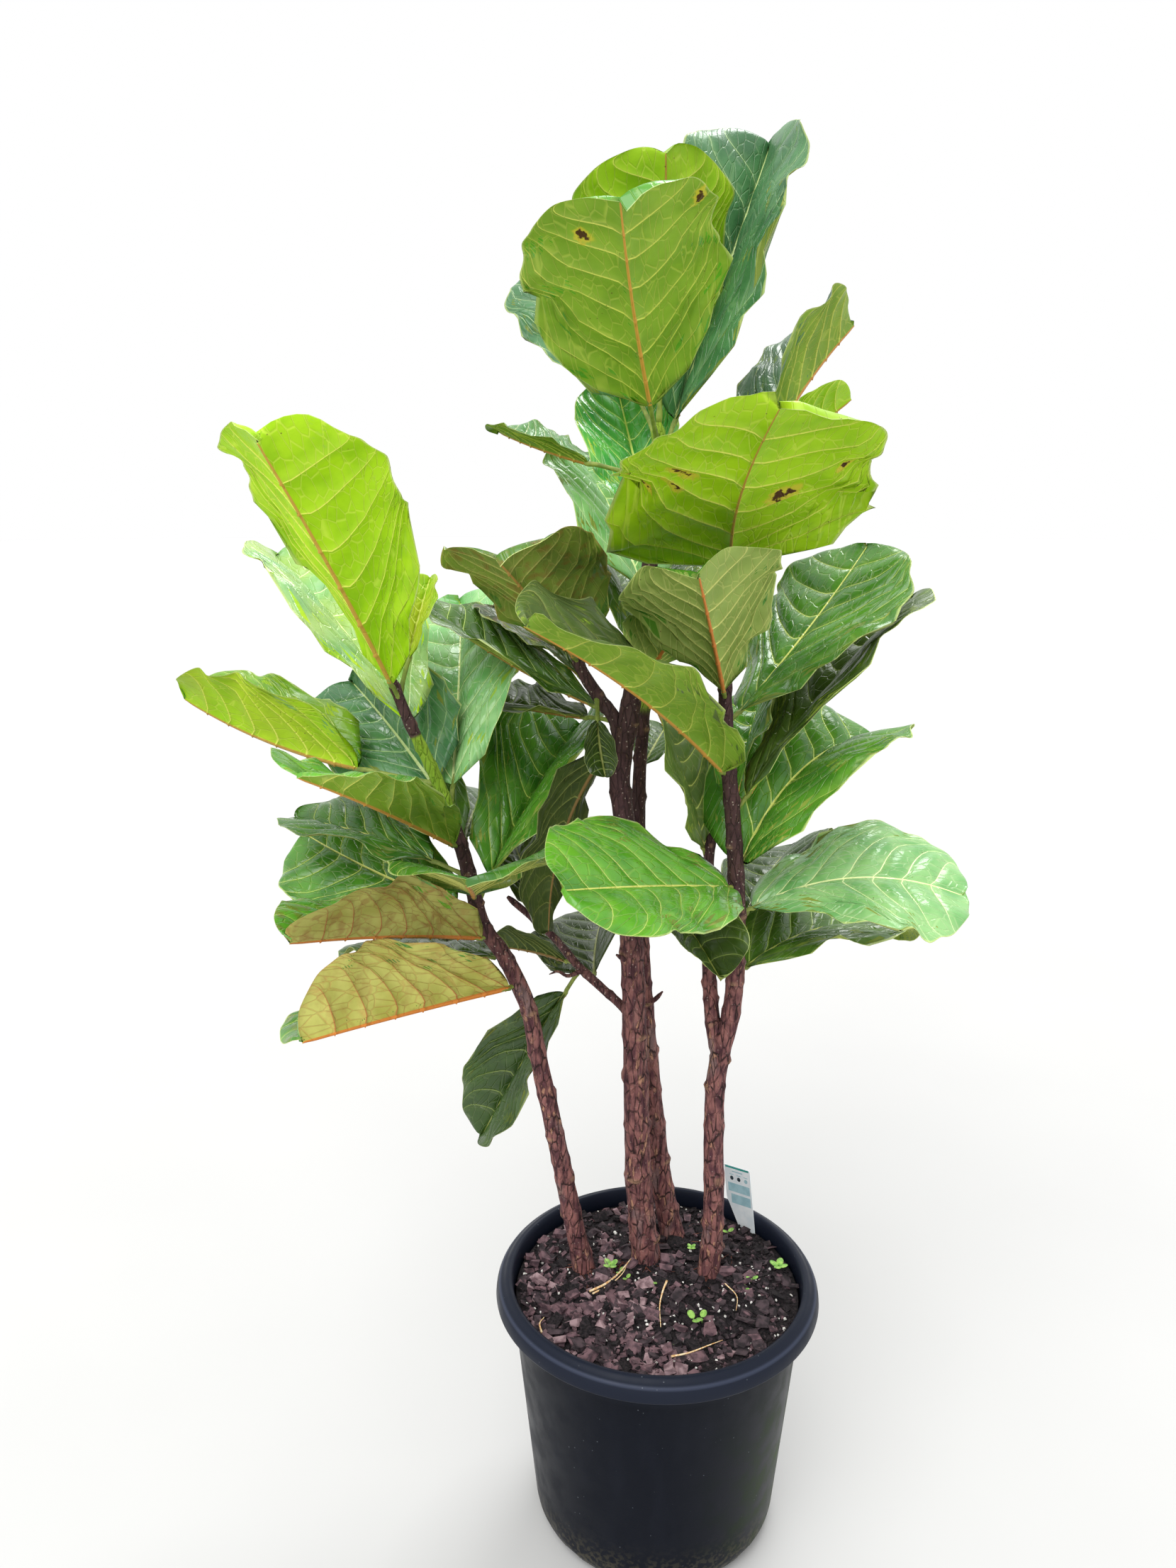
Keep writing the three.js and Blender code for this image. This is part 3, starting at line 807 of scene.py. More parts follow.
@dataclass
class Trunk:
    """One planted stem with all that grows from it, in bark. Millimetres."""

    stem: str
    soil: float = 313.0
    flare: float = 0.2
    flare_height: float = 18.0
    spacing: float = 3.5
    sides: int = 22
    scar_gap: float = 30.0
    scar_rise: float = 0.28
    ring_width: float = 2.6
    mark_width: float = 3.2
    lump: tuple[float, float] = (0.09, 24.0)  # each is a share of the radius and a size
    fissure: tuple[float, float] = (0.05, 3.4)
    plate: tuple[float, float] = (0.035, 6.0)
    age_height: tuple[float, float] = (520.0, 980.0)  # the bark turns from old to young between these heights
    green_reach: tuple[float, float] = (40.0, 0.0)  # distances below the tip between which a stem is still green
    green_stretch: tuple[float, float] = (150.0, 62.0)  # the same for the left stem, whose tip has browned again

    def build(self, finish: bpy.types.Material) -> bpy.types.Object:
        """Grow the stem and its branches into one piece of bark.

        Args:
            finish: Bark material.

        Returns:
            The finished trunk.
        """
        piece = Piece(f"bark_{self.stem}")
        piece.skins = [finish]
        for name, limb in LIMBS.items():
            if self.stem in (name, limb.parent):
                self.grow(piece, name, limb)
        piece.scale_to_metres()
        return piece.finish([f"trunk_{self.stem}"], "bark")

    def grow(self, piece: Piece, name: str, limb: Limb) -> None:
        """Add one limb: ringed nodes with a leaf scar on each, lumpy fissured bark and a flared foot.

        Args:
            piece: The trunk's mesh.
            name: Limb's name.
            limb: Limb to add.
        """
        seed = len(name) + 0.37 * ord(name[0])
        line = limb.line(self.spacing)
        thick, thin = limb.radii
        travelled = [i * self.spacing for i in range(len(line))]
        length = travelled[-1]
        scars = self.scars(length, seed)

        def reach(row: int, angle: float) -> float:
            """Radius of the bark.

            Args:
                row: Row along the limb.
                angle: Angle round it.

            Returns:
                The radius.
            """
            base = blend(thick, thin, row / (len(line) - 1))
            around = Vector((math.cos(angle), math.sin(angle), 0)) * base
            place = around + Vector((0, 0, travelled[row]))
            lumps = self.lump[0] * rough(place, self.lump[1], seed)
            lumps += self.fissure[0] * rough(Vector((place.x, place.y, place.z * 0.3)), self.fissure[1], seed)
            plates = self.plate[0] * abs(rough(Vector((place.x, place.y, place.z * 0.5)), self.plate[1], seed + 4))
            rings = sum(
                self.scar_rise
                * math.exp(-(((travelled[row] - at) / self.ring_width) ** 2))
                * (0.35 + 0.65 * self.facing(angle, way))
                for at, way in scars
                if abs(travelled[row] - at) < 9
            )
            foot = 0.0
            if not limb.parent and line[row].z > self.soil - 30:
                lobes = 0.6 + 0.4 * math.cos(angle * 4 + seed)
                foot = self.flare * lobes * math.exp(-max(0.0, line[row].z - self.soil) / self.flare_height)
            tip = 1 - 0.55 * smoothstep(length - 10, length, travelled[row])
            return base * (1 + lumps - plates + rings + foot) * tip

        spots = piece.tube(line, reach, self.sides)
        for corner, (row, column) in spots.items():
            at = min(max(row - 1, 0), len(line) - 1)
            angle = 2 * math.pi * column / self.sides
            old = 1 - smoothstep(*self.age_height, corner.co.z)
            thinness = smoothstep(12, 6.5, blend(thick, thin, at / (len(line) - 1)))
            scar = max(
                (
                    math.exp(-(((travelled[at] - place) / self.mark_width) ** 2)) * self.facing(angle, way)
                    for place, way in scars
                ),
                default=0.0,
            )
            green = 0.0
            if not limb.parent:
                start, end = self.green_stretch if name == "left" else self.green_reach
                green = smoothstep(length - start, length - start + 25, travelled[at])
                green *= 1 - smoothstep(length - end - 1, length - end + 10, travelled[at])
            corner[piece.marks] = (max(1 - old, 0.6 * thinness), scar, green, 1.0)
        piece.weld(spots)

    def scars(self, length: float, seed: float) -> list[tuple[float, float]]:
        """Distance along the limb and direction of each leaf scar.

        Args:
            length: Length of the limb.
            seed: Seed of its luck.

        Returns:
            Distance and angle of each scar.
        """
        luck = random.Random(seed)
        made, at, way = [], 12.0, seed
        while at < length:
            made.append((at, way % (2 * math.pi)))
            at += self.scar_gap * luck.uniform(0.45, 1.3)
            way += GOLDEN_TURN
        return made

    @staticmethod
    def facing(angle: float, way: float) -> float:
        """How far an angle looks the same way as a scar, from 0 to 1."""
        return max(0.0, math.cos(angle - way)) ** 3


# ---------------------------------------------------------------- leaves


@dataclass(frozen=True)
class Blemish:
    """A dead spot in a blade, placed along it, across it (-1 to 1) and by size in millimetres."""

    along: float
    side: float
    radius: float


@dataclass
class Leaf:
    """One leaf. Angles in degrees, sizes in millimetres.

    stem, height: where its stalk leaves a limb's axis.
    aim: azimuth (0 is +X, -90 the front), elevation and roll.
    size: stalk, length and width.
    curl: bend, sweep, left fold, right fold and twist.
    fullness: 1 keeps the blade wide down to its stalk.
    light: painted brightness of this leaf, standing in for the light and shade that reach it.
    rust: how rusty its underside is.
    """

    stem: str
    height: float
    aim: tuple[float, float, float]
    size: tuple[float, float, float]
    curl: tuple[float, float, float, float, float]
    fullness: float
    upper: Upper
    under: Under
    light: float = 1.0
    rust: float = 0.0
    gold: float = 0.0
    wave: float = 1.0
    blemishes: tuple[Blemish, ...] = ()

    def placement(self) -> Matrix:
        """Where the leaf's own frame stands: x across, y along the stalk, z out of the upper face.

        Returns:
            The matrix from the leaf in millimetres to the plant in metres.
        """
        azimuth, elevation, roll = (math.radians(a) for a in self.aim)
        level = math.cos(elevation)
        forward = Vector((level * math.cos(azimuth), level * math.sin(azimuth), math.sin(elevation)))
        right = Vector((math.sin(azimuth), -math.cos(azimuth), 0))
        right.rotate(Matrix.Rotation(-roll, 3, forward))
        turn = Matrix((right, forward, right.cross(forward))).transposed().to_4x4()
        return Matrix.Translation(LIMBS[self.stem].at_height(self.height) * MM) @ turn @ Matrix.Scale(MM, 4)


class LeafBuilder:
    """Builds leaf meshes: a sleeve of two puckered skins over veins and midrib, on a round stalk."""

    OVAL_POWER = 2.4
    TIP_POWER = 4.0
    WIDEST_AT = 0.72
    WAIST = (0.26, 0.12, 0.25)  # place, spread and depth
    CUP = math.radians(5)
    VEINS = (0.02, 0.125, 0.275, 0.43, 0.58, 0.72, 0.85)
    BETWEEN_VEINS = (0.17, 0.33, 0.5, 0.67, 0.83)
    TIP_ROWS = (0.885, 0.915, 0.94, 0.96, 0.978, 0.992, 1.0)
    REACHES = (0.1, 0.19, 0.3, 0.42, 0.54, 0.66, 0.77, 0.86, 0.93, 0.972, 0.991, 1.0)
    RIB_COLUMNS = (1.1, 2.5)  # millimetres from the midrib's centre line at the stalk
    VEIN_HALF = 2.1
    VEIN_CLIMB = 0.66
    VEIN_BOW = (0.36, 0.64, 2.2)  # a side vein climbs by a straight share and a bowed share to this power
    VEIN_OFFSET = 0.034  # how far along the veins of one side are ahead of the middle
    VEIN_RISE = 0.95
    RIB_RISE = (3.0, 0.7)  # how far the midrib stands out below, at the stalk and at the tip
    SKIN = 0.45
    PUCKER = 4.2
    WAVE = 5.4
    SWELL = 7.0
    SCALLOPS = ((0.04, 11), (0.028, 25))  # swell of the margin and its turns along the blade
    JAG = 0.05
    GROWN = 240  # blades shorter than this have shallower relief

    def __init__(self, leaf: Leaf, number: int) -> None:
        """Prepare the rows and the shape of one leaf.

        Args:
            leaf: Leaf to build.
            number: Its number on the plant, which also seeds its luck.
        """
        self.leaf = leaf
        self.number = number
        self.luck = random.Random(number * 17 + 3)
        self.stalk, self.length, self.width = leaf.size
        curl = [math.radians(a) for a in leaf.curl]
        self.bend, self.sweep, self.folds, self.twist = curl[0], curl[1], curl[2:4], curl[4]
        self.rows = self.vein_rows()
        self.columns = self.column_spots()
        self.climb = [self.VEIN_CLIMB * self.luck.uniform(0.88, 1.14) for _ in range(2)]
        self.waves = [self.luck.uniform(0, 6.28) for _ in range(6)]  # phases of the margin's waves
        self.notch = self.luck.uniform(0.01, 0.035)
        self.ahead = self.luck.choice((-1, 1)) * self.VEIN_OFFSET
        self.size_share = min(1.0, self.length / self.GROWN)

    def vein_rows(self) -> list[tuple[float, float, float, float]]:
        """Rows of the blade: place along the midrib, side step off a vein, bulge and vein mark.

        Returns:
            Four numbers for each row.
        """
        veins = [v + (self.luck.uniform(-0.012, 0.012) if v > 0.05 else 0) for v in self.VEINS]
        rows = [(0.0, 0.0, 0.0, 0.0)]
        for before, vein in zip([0.0, *veins], veins):
            gap = vein - before
            puff = min(1, gap / 0.12)
            rows += [(before + gap * at, 0.0, math.sin(math.pi * at) * puff, 0.0) for at in self.BETWEEN_VEINS]
            rows += [(vein, -1.0, 0.12, 0.0), (vein, 0.0, 0.0, 1.0), (vein, 1.0, 0.12, 0.0)]
        return rows + [(tip, 0.0, 0.2, 0.0) for tip in self.TIP_ROWS]

    def column_spots(self) -> list[tuple[float, float]]:
        """Columns of one skin from left to right: millimetres from the midrib, then share of the blade.

        Returns:
            Two numbers for each column.
        """
        half = [(mm, 0.0) for mm in self.RIB_COLUMNS] + [(0.0, reach) for reach in self.REACHES]
        left = [(-mm, -reach) for mm, reach in reversed(half)]
        return [*left, (0.0, 0.0), *half]

    def half_width(self, along: float) -> float:
        """Half width of the blade in millimetres, from the stalk (0) to the tip (1).

        Args:
            along: Place along the blade.

        Returns:
            The half width.
        """
        power = self.OVAL_POWER if along < 0.5 else self.TIP_POWER
        oval = math.sqrt(max(0.0, 1 - abs(2 * along - 1) ** power))
        widening = math.sin(math.pi / 2 * min(1.0, along / self.WIDEST_AT))
        at, spread, depth = self.WAIST
        waist = depth * math.exp(-(((along - at) / spread) ** 2))
        full = self.leaf.fullness
        return oval * (full + (1 - full) * (widening - waist)) * self.width / 2

    def midrib(self, along: float) -> Vector:
        """Point of the midrib: it starts along +Y, bends towards -Z and sweeps towards +X.

        Args:
            along: Place along the blade.

        Returns:
            The point.
        """
        steps = 12
        point = Vector((0, self.stalk, 0))
        step = self.length * along / steps
        for i in range(steps):
            at = (i + 0.5) / steps * along
            level = step * math.cos(self.bend * at)
            point.x += level * math.sin(self.sweep * at)
            point.y += level * math.cos(self.sweep * at)
            point.z -= step * math.sin(self.bend * at)
        return point

    def corner(self, row: int, column: int, face: int) -> tuple[Vector, float, float]:
        """Corner of a skin.

        Args:
            row: Row along the blade.
            column: Column across it.
            face: 1 for the upper skin and -1 for the underside.

        Returns:
            The point, how far out it is across the blade and its distance from the midrib.
        """
        rib_at, step, bulge, vein = self.rows[row]
        rib_mm, reach = self.columns[column]
        side = (column > len(self.columns) // 2) - (column < len(self.columns) // 2)
        out = abs(reach)
        taper = blend(1.0, 0.34, rib_at)
        climb = self.climb[side > 0] * (1 - rib_at) * (1 - math.exp(-rib_at / 0.02))
        climb *= 1 + 0.25 * rough(Vector((rib_at, side * 9.0, self.number * 3.0)), 0.62)
        shift = self.ahead * side * math.sin(math.pi * rib_at) * (1 - math.exp(-out / 0.07))
        straight, bowed, power = self.VEIN_BOW
        along = rib_at + shift + climb * (straight * out + bowed * out**power)
        along += step * self.VEIN_HALF * (1 - 0.55 * out) * taper / self.length
        along = min(1.0, max(0.0, along))
        half = self.half_width(along) * self.scallop(along, side)
        distance = out * half if out else min(abs(rib_mm) * taper, 0.09 * half)
        spread = distance / (self.width / 2)
        lobe = spread / 0.3 * math.exp(1 - spread / 0.3)
        stretched = along + self.notch * lobe * smoothstep(0.72, 1.0, along)
        stretched -= 0.035 * lobe * (1 - smoothstep(0, 0.14, along))
        sweep, bend = self.sweep * stretched, self.bend * stretched
        across = Vector((math.cos(sweep), -math.sin(sweep), 0))
        forward = Vector((math.sin(sweep) * math.cos(bend), math.cos(sweep) * math.cos(bend), -math.sin(bend)))
        turn = Matrix.Rotation(-self.twist * stretched, 3, forward)
        across.rotate(turn)
        up = across.cross(forward)
        fold = (self.folds[side > 0] if side else 0.0) + self.CUP * out / 2
        outward = across * (side * math.cos(fold)) + up * math.sin(fold)
        square = up * math.cos(fold) - across * (side * math.sin(fold))
        lift = self.relief(along, out, side, bulge, vein, rib_mm, distance)
        if face < 0:
            lift -= self.depth(out, rib_mm, vein, rib_at, column)
        return self.midrib(stretched) + outward * distance + square * lift, out, distance

    def scallop(self, along: float, side: int) -> float:
        """Share by which the margin swells and shrinks along the blade.

        Args:
            along: Place along the blade.
            side: -1 left, 1 right.

        Returns:
            The share.
        """
        first, second, third, fourth, *_ = self.waves
        start, fine = (first, second) if side < 0 else (third, fourth)
        (wide, wide_turns), (small, small_turns) = self.SCALLOPS
        lobes = wide * math.sin(wide_turns * along + start) + small * math.sin(small_turns * along + fine)
        jag = self.JAG * rough(Vector((along * self.length, side * 50, self.number * 30)), 16)
        return 1 + (lobes + jag) * self.leaf.wave

    def relief(
        self, along: float, out: float, side: int, bulge: float, vein: float, rib_mm: float, distance: float
    ) -> float:
        """Height of the upper skin over the plain blade: puckers, sunken veins, wavy margin and slow swell.

        Args:
            along: Place along the blade.
            out: Share of the way to the margin.
            side: -1 left, 0 midrib, 1 right.
            bulge: Pucker of the row.
            vein: Whether a vein runs in the row.
            rib_mm: Distance of a midrib column.
            distance: Distance from the midrib.

        Returns:
            The height in millimetres.
        """
        pucker = self.PUCKER * bulge * (1 - out**3) * smoothstep(0, 0.16, out)
        rib_groove = 0.9 if not rib_mm and not out else 0.35 if abs(rib_mm) < 2 and not out else 0
        groove = -0.5 * vein * (1 - out) - rib_groove
        fourth, fifth, sixth = self.waves[3:]
        ripple = math.sin(14 * along + (fourth if side < 0 else fifth)) + 0.6 * math.sin(31 * along + sixth * side)
        where = Vector((distance * side, along * self.length, self.number * 40.0))
        wave = self.WAVE * self.leaf.wave * out**2.6 * (ripple + 1.4 * rough(where, 30)) * smoothstep(0, 0.2, along)
        swell = self.SWELL * out * rough(where, 70, 2.0)
        camber = 0.13 * self.width / 2 * out * (1 - out) * 4 * 0.35
        return (pucker + groove + wave + swell + camber) * self.size_share * smoothstep(0, 0.06, along)

    def depth(self, out: float, rib_mm: float, vein: float, rib_at: float, column: int) -> float:
        """Thickness between the two skins, with the veins and the midrib standing out below.

        Args:
            out: Share of the way to the margin.
            rib_mm: Distance of a midrib column.
            vein: Whether a vein runs in the row.
            rib_at: Place of the row on the midrib.
            column: Column across the blade.

        Returns:
            The thickness in millimetres.
        """
        centre = column == len(self.columns) // 2
        rib = 1.0 if centre else 0.8 if abs(rib_mm) in (0.0, self.RIB_COLUMNS[0]) and not out else 0.0
        ridge = blend(*self.RIB_RISE, rib_at) * rib * smoothstep(1.0, 0.94, rib_at)
        return self.SKIN * (1 - 0.6 * out**8) + self.VEIN_RISE * vein * (1 - 0.6 * out) + ridge

    def build(self, skins: Sequence[bpy.types.Material], slot: str) -> bpy.types.Object:
        """Make the leaf and put it on its limb.

        Args:
            skins: Upper skin, underside and stalk.
            slot: Material slot of the record.

        Returns:
            The finished leaf.
        """
        name = f"{self.number:02d}"
        piece = Piece(f"fig_leaf_{name}")
        piece.skins = list(skins)
        across = len(self.columns)
        ring = 2 * across
        found: dict[tuple[int, int], tuple[Vector, float, float]] = {}

        def place(row: int, column: int) -> Vector:
            """Corner of the sleeve, over the upper skin and back under it.

            Args:
                row: Row along the sleeve.
                column: Column round it.

            Returns:
                The corner.
            """
            column %= ring
            face = 1 if column < across else -1
            source = column if face > 0 else ring - 1 - column
            found[row, column] = self.corner(row, source, face)
            return found[row, column][0].copy()

        spots = piece.grid(len(self.rows), ring + 1, place)
        for corner, (row, column) in spots.items():
            self.paint(piece, corner, row, column % ring, found[row, column % ring])
        for face in piece.bm.faces:
            first = min(spots[corner][1] for corner in face.verts)
            face.material_index = int(first >= across - 1)
        piece.weld(spots, 1e-5)
        bmesh.ops.holes_fill(piece.bm, edges=[edge for edge in piece.bm.edges if edge.is_boundary], sides=0)
        self.add_stalk(piece)
        piece.weld(piece.bm.verts, 1e-5)
        bmesh.ops.dissolve_degenerate(piece.bm, dist=1e-5, edges=piece.bm.edges)
        bmesh.ops.transform(piece.bm, matrix=self.leaf.placement(), verts=piece.bm.verts)
        return piece.finish([f"leaf_{name}"], slot)

    def paint(
        self, piece: Piece, corner: bmesh.types.BMVert, row: int, column: int, found: tuple[Vector, float, float]
    ) -> None:
        """Mark veins, midrib, margin and dead spots, and give the corner its place on the flat blade.

        Args:
            piece: The leaf's mesh.
            corner: Corner to mark.
            row: Its row.
            column: Its column round the sleeve.
            found: What corner() said of it.
        """
        across = len(self.columns)
        source = column if column < across else 2 * across - 1 - column
        rib_at, step, _, vein = self.rows[row]
        rib_mm, reach = self.columns[source]
        _, out, distance = found
        side = (source > across // 2) - (source < across // 2)
        rib = 1.0 if not out and abs(rib_mm) < 2 else 0.0
        edge = smoothstep(0.965, 1.0, out)
        halo = 0.55 if step else vein
        spot = max((self.spot(b, rib_at, reach) for b in self.leaf.blemishes), default=0.0)
        corner[piece.marks] = (vein * (1 - 0.35 * out), rib, edge, halo)
        # The tone's first channel is the leaf's painted brightness, its painted light and shade.
        corner[piece.tone] = (self.leaf.light, self.leaf.gold, self.leaf.rust, spot)
        place = (side * distance * MM, rib_at * self.length * MM, self.number * 0.13)
        corner[piece.flat] = Vector(place)

    def spot(self, blemish: Blemish, rib_at: float, reach: float) -> float:
        """How dead the blade is here because of one blemish, from 0 to 1."""
        gap = math.hypot((rib_at - blemish.along) * self.length, (reach - blemish.side) * self.width / 2)
        return max(0.0, 1 - gap / (2.6 * blemish.radius))

    def add_stalk(self, piece: Piece) -> None:
        """Stalk from the limb's axis into the underside of the midrib: swollen at its foot, slim, then wider.

        Args:
            piece: The leaf's mesh.
        """
        steps = 9
        line = [Vector((0, self.stalk * i / steps, 0)) for i in range(steps)]
        line += [self.midrib(at) - Vector((0, 0, 1.6)) for at in (0.0, 0.02, 0.05)]
        last = len(line) - 1

        def reach(row: int, angle: float) -> float:
            """Radius of the stalk.

            Args:
                row: Row along the stalk.
                angle: Angle round it; the stalk is round.

            Returns:
                The radius.
            """
            share = row / last
            swell = 1.3 * math.exp(-(((share - 0.12) / 0.14) ** 2))
            return (2.5 + swell + 0.5 * smoothstep(0.6, 0.85, share)) * (1 - 0.55 * smoothstep(0.85, 1.0, share))

        spots = piece.tube(line, reach, 10, skin=2)
        for corner in spots:
            corner[piece.tone] = (self.leaf.light, 0, 0, 0)
            corner[piece.marks] = (0, 0, smoothstep(0.3 * self.stalk, 0, corner.co.y), 0)
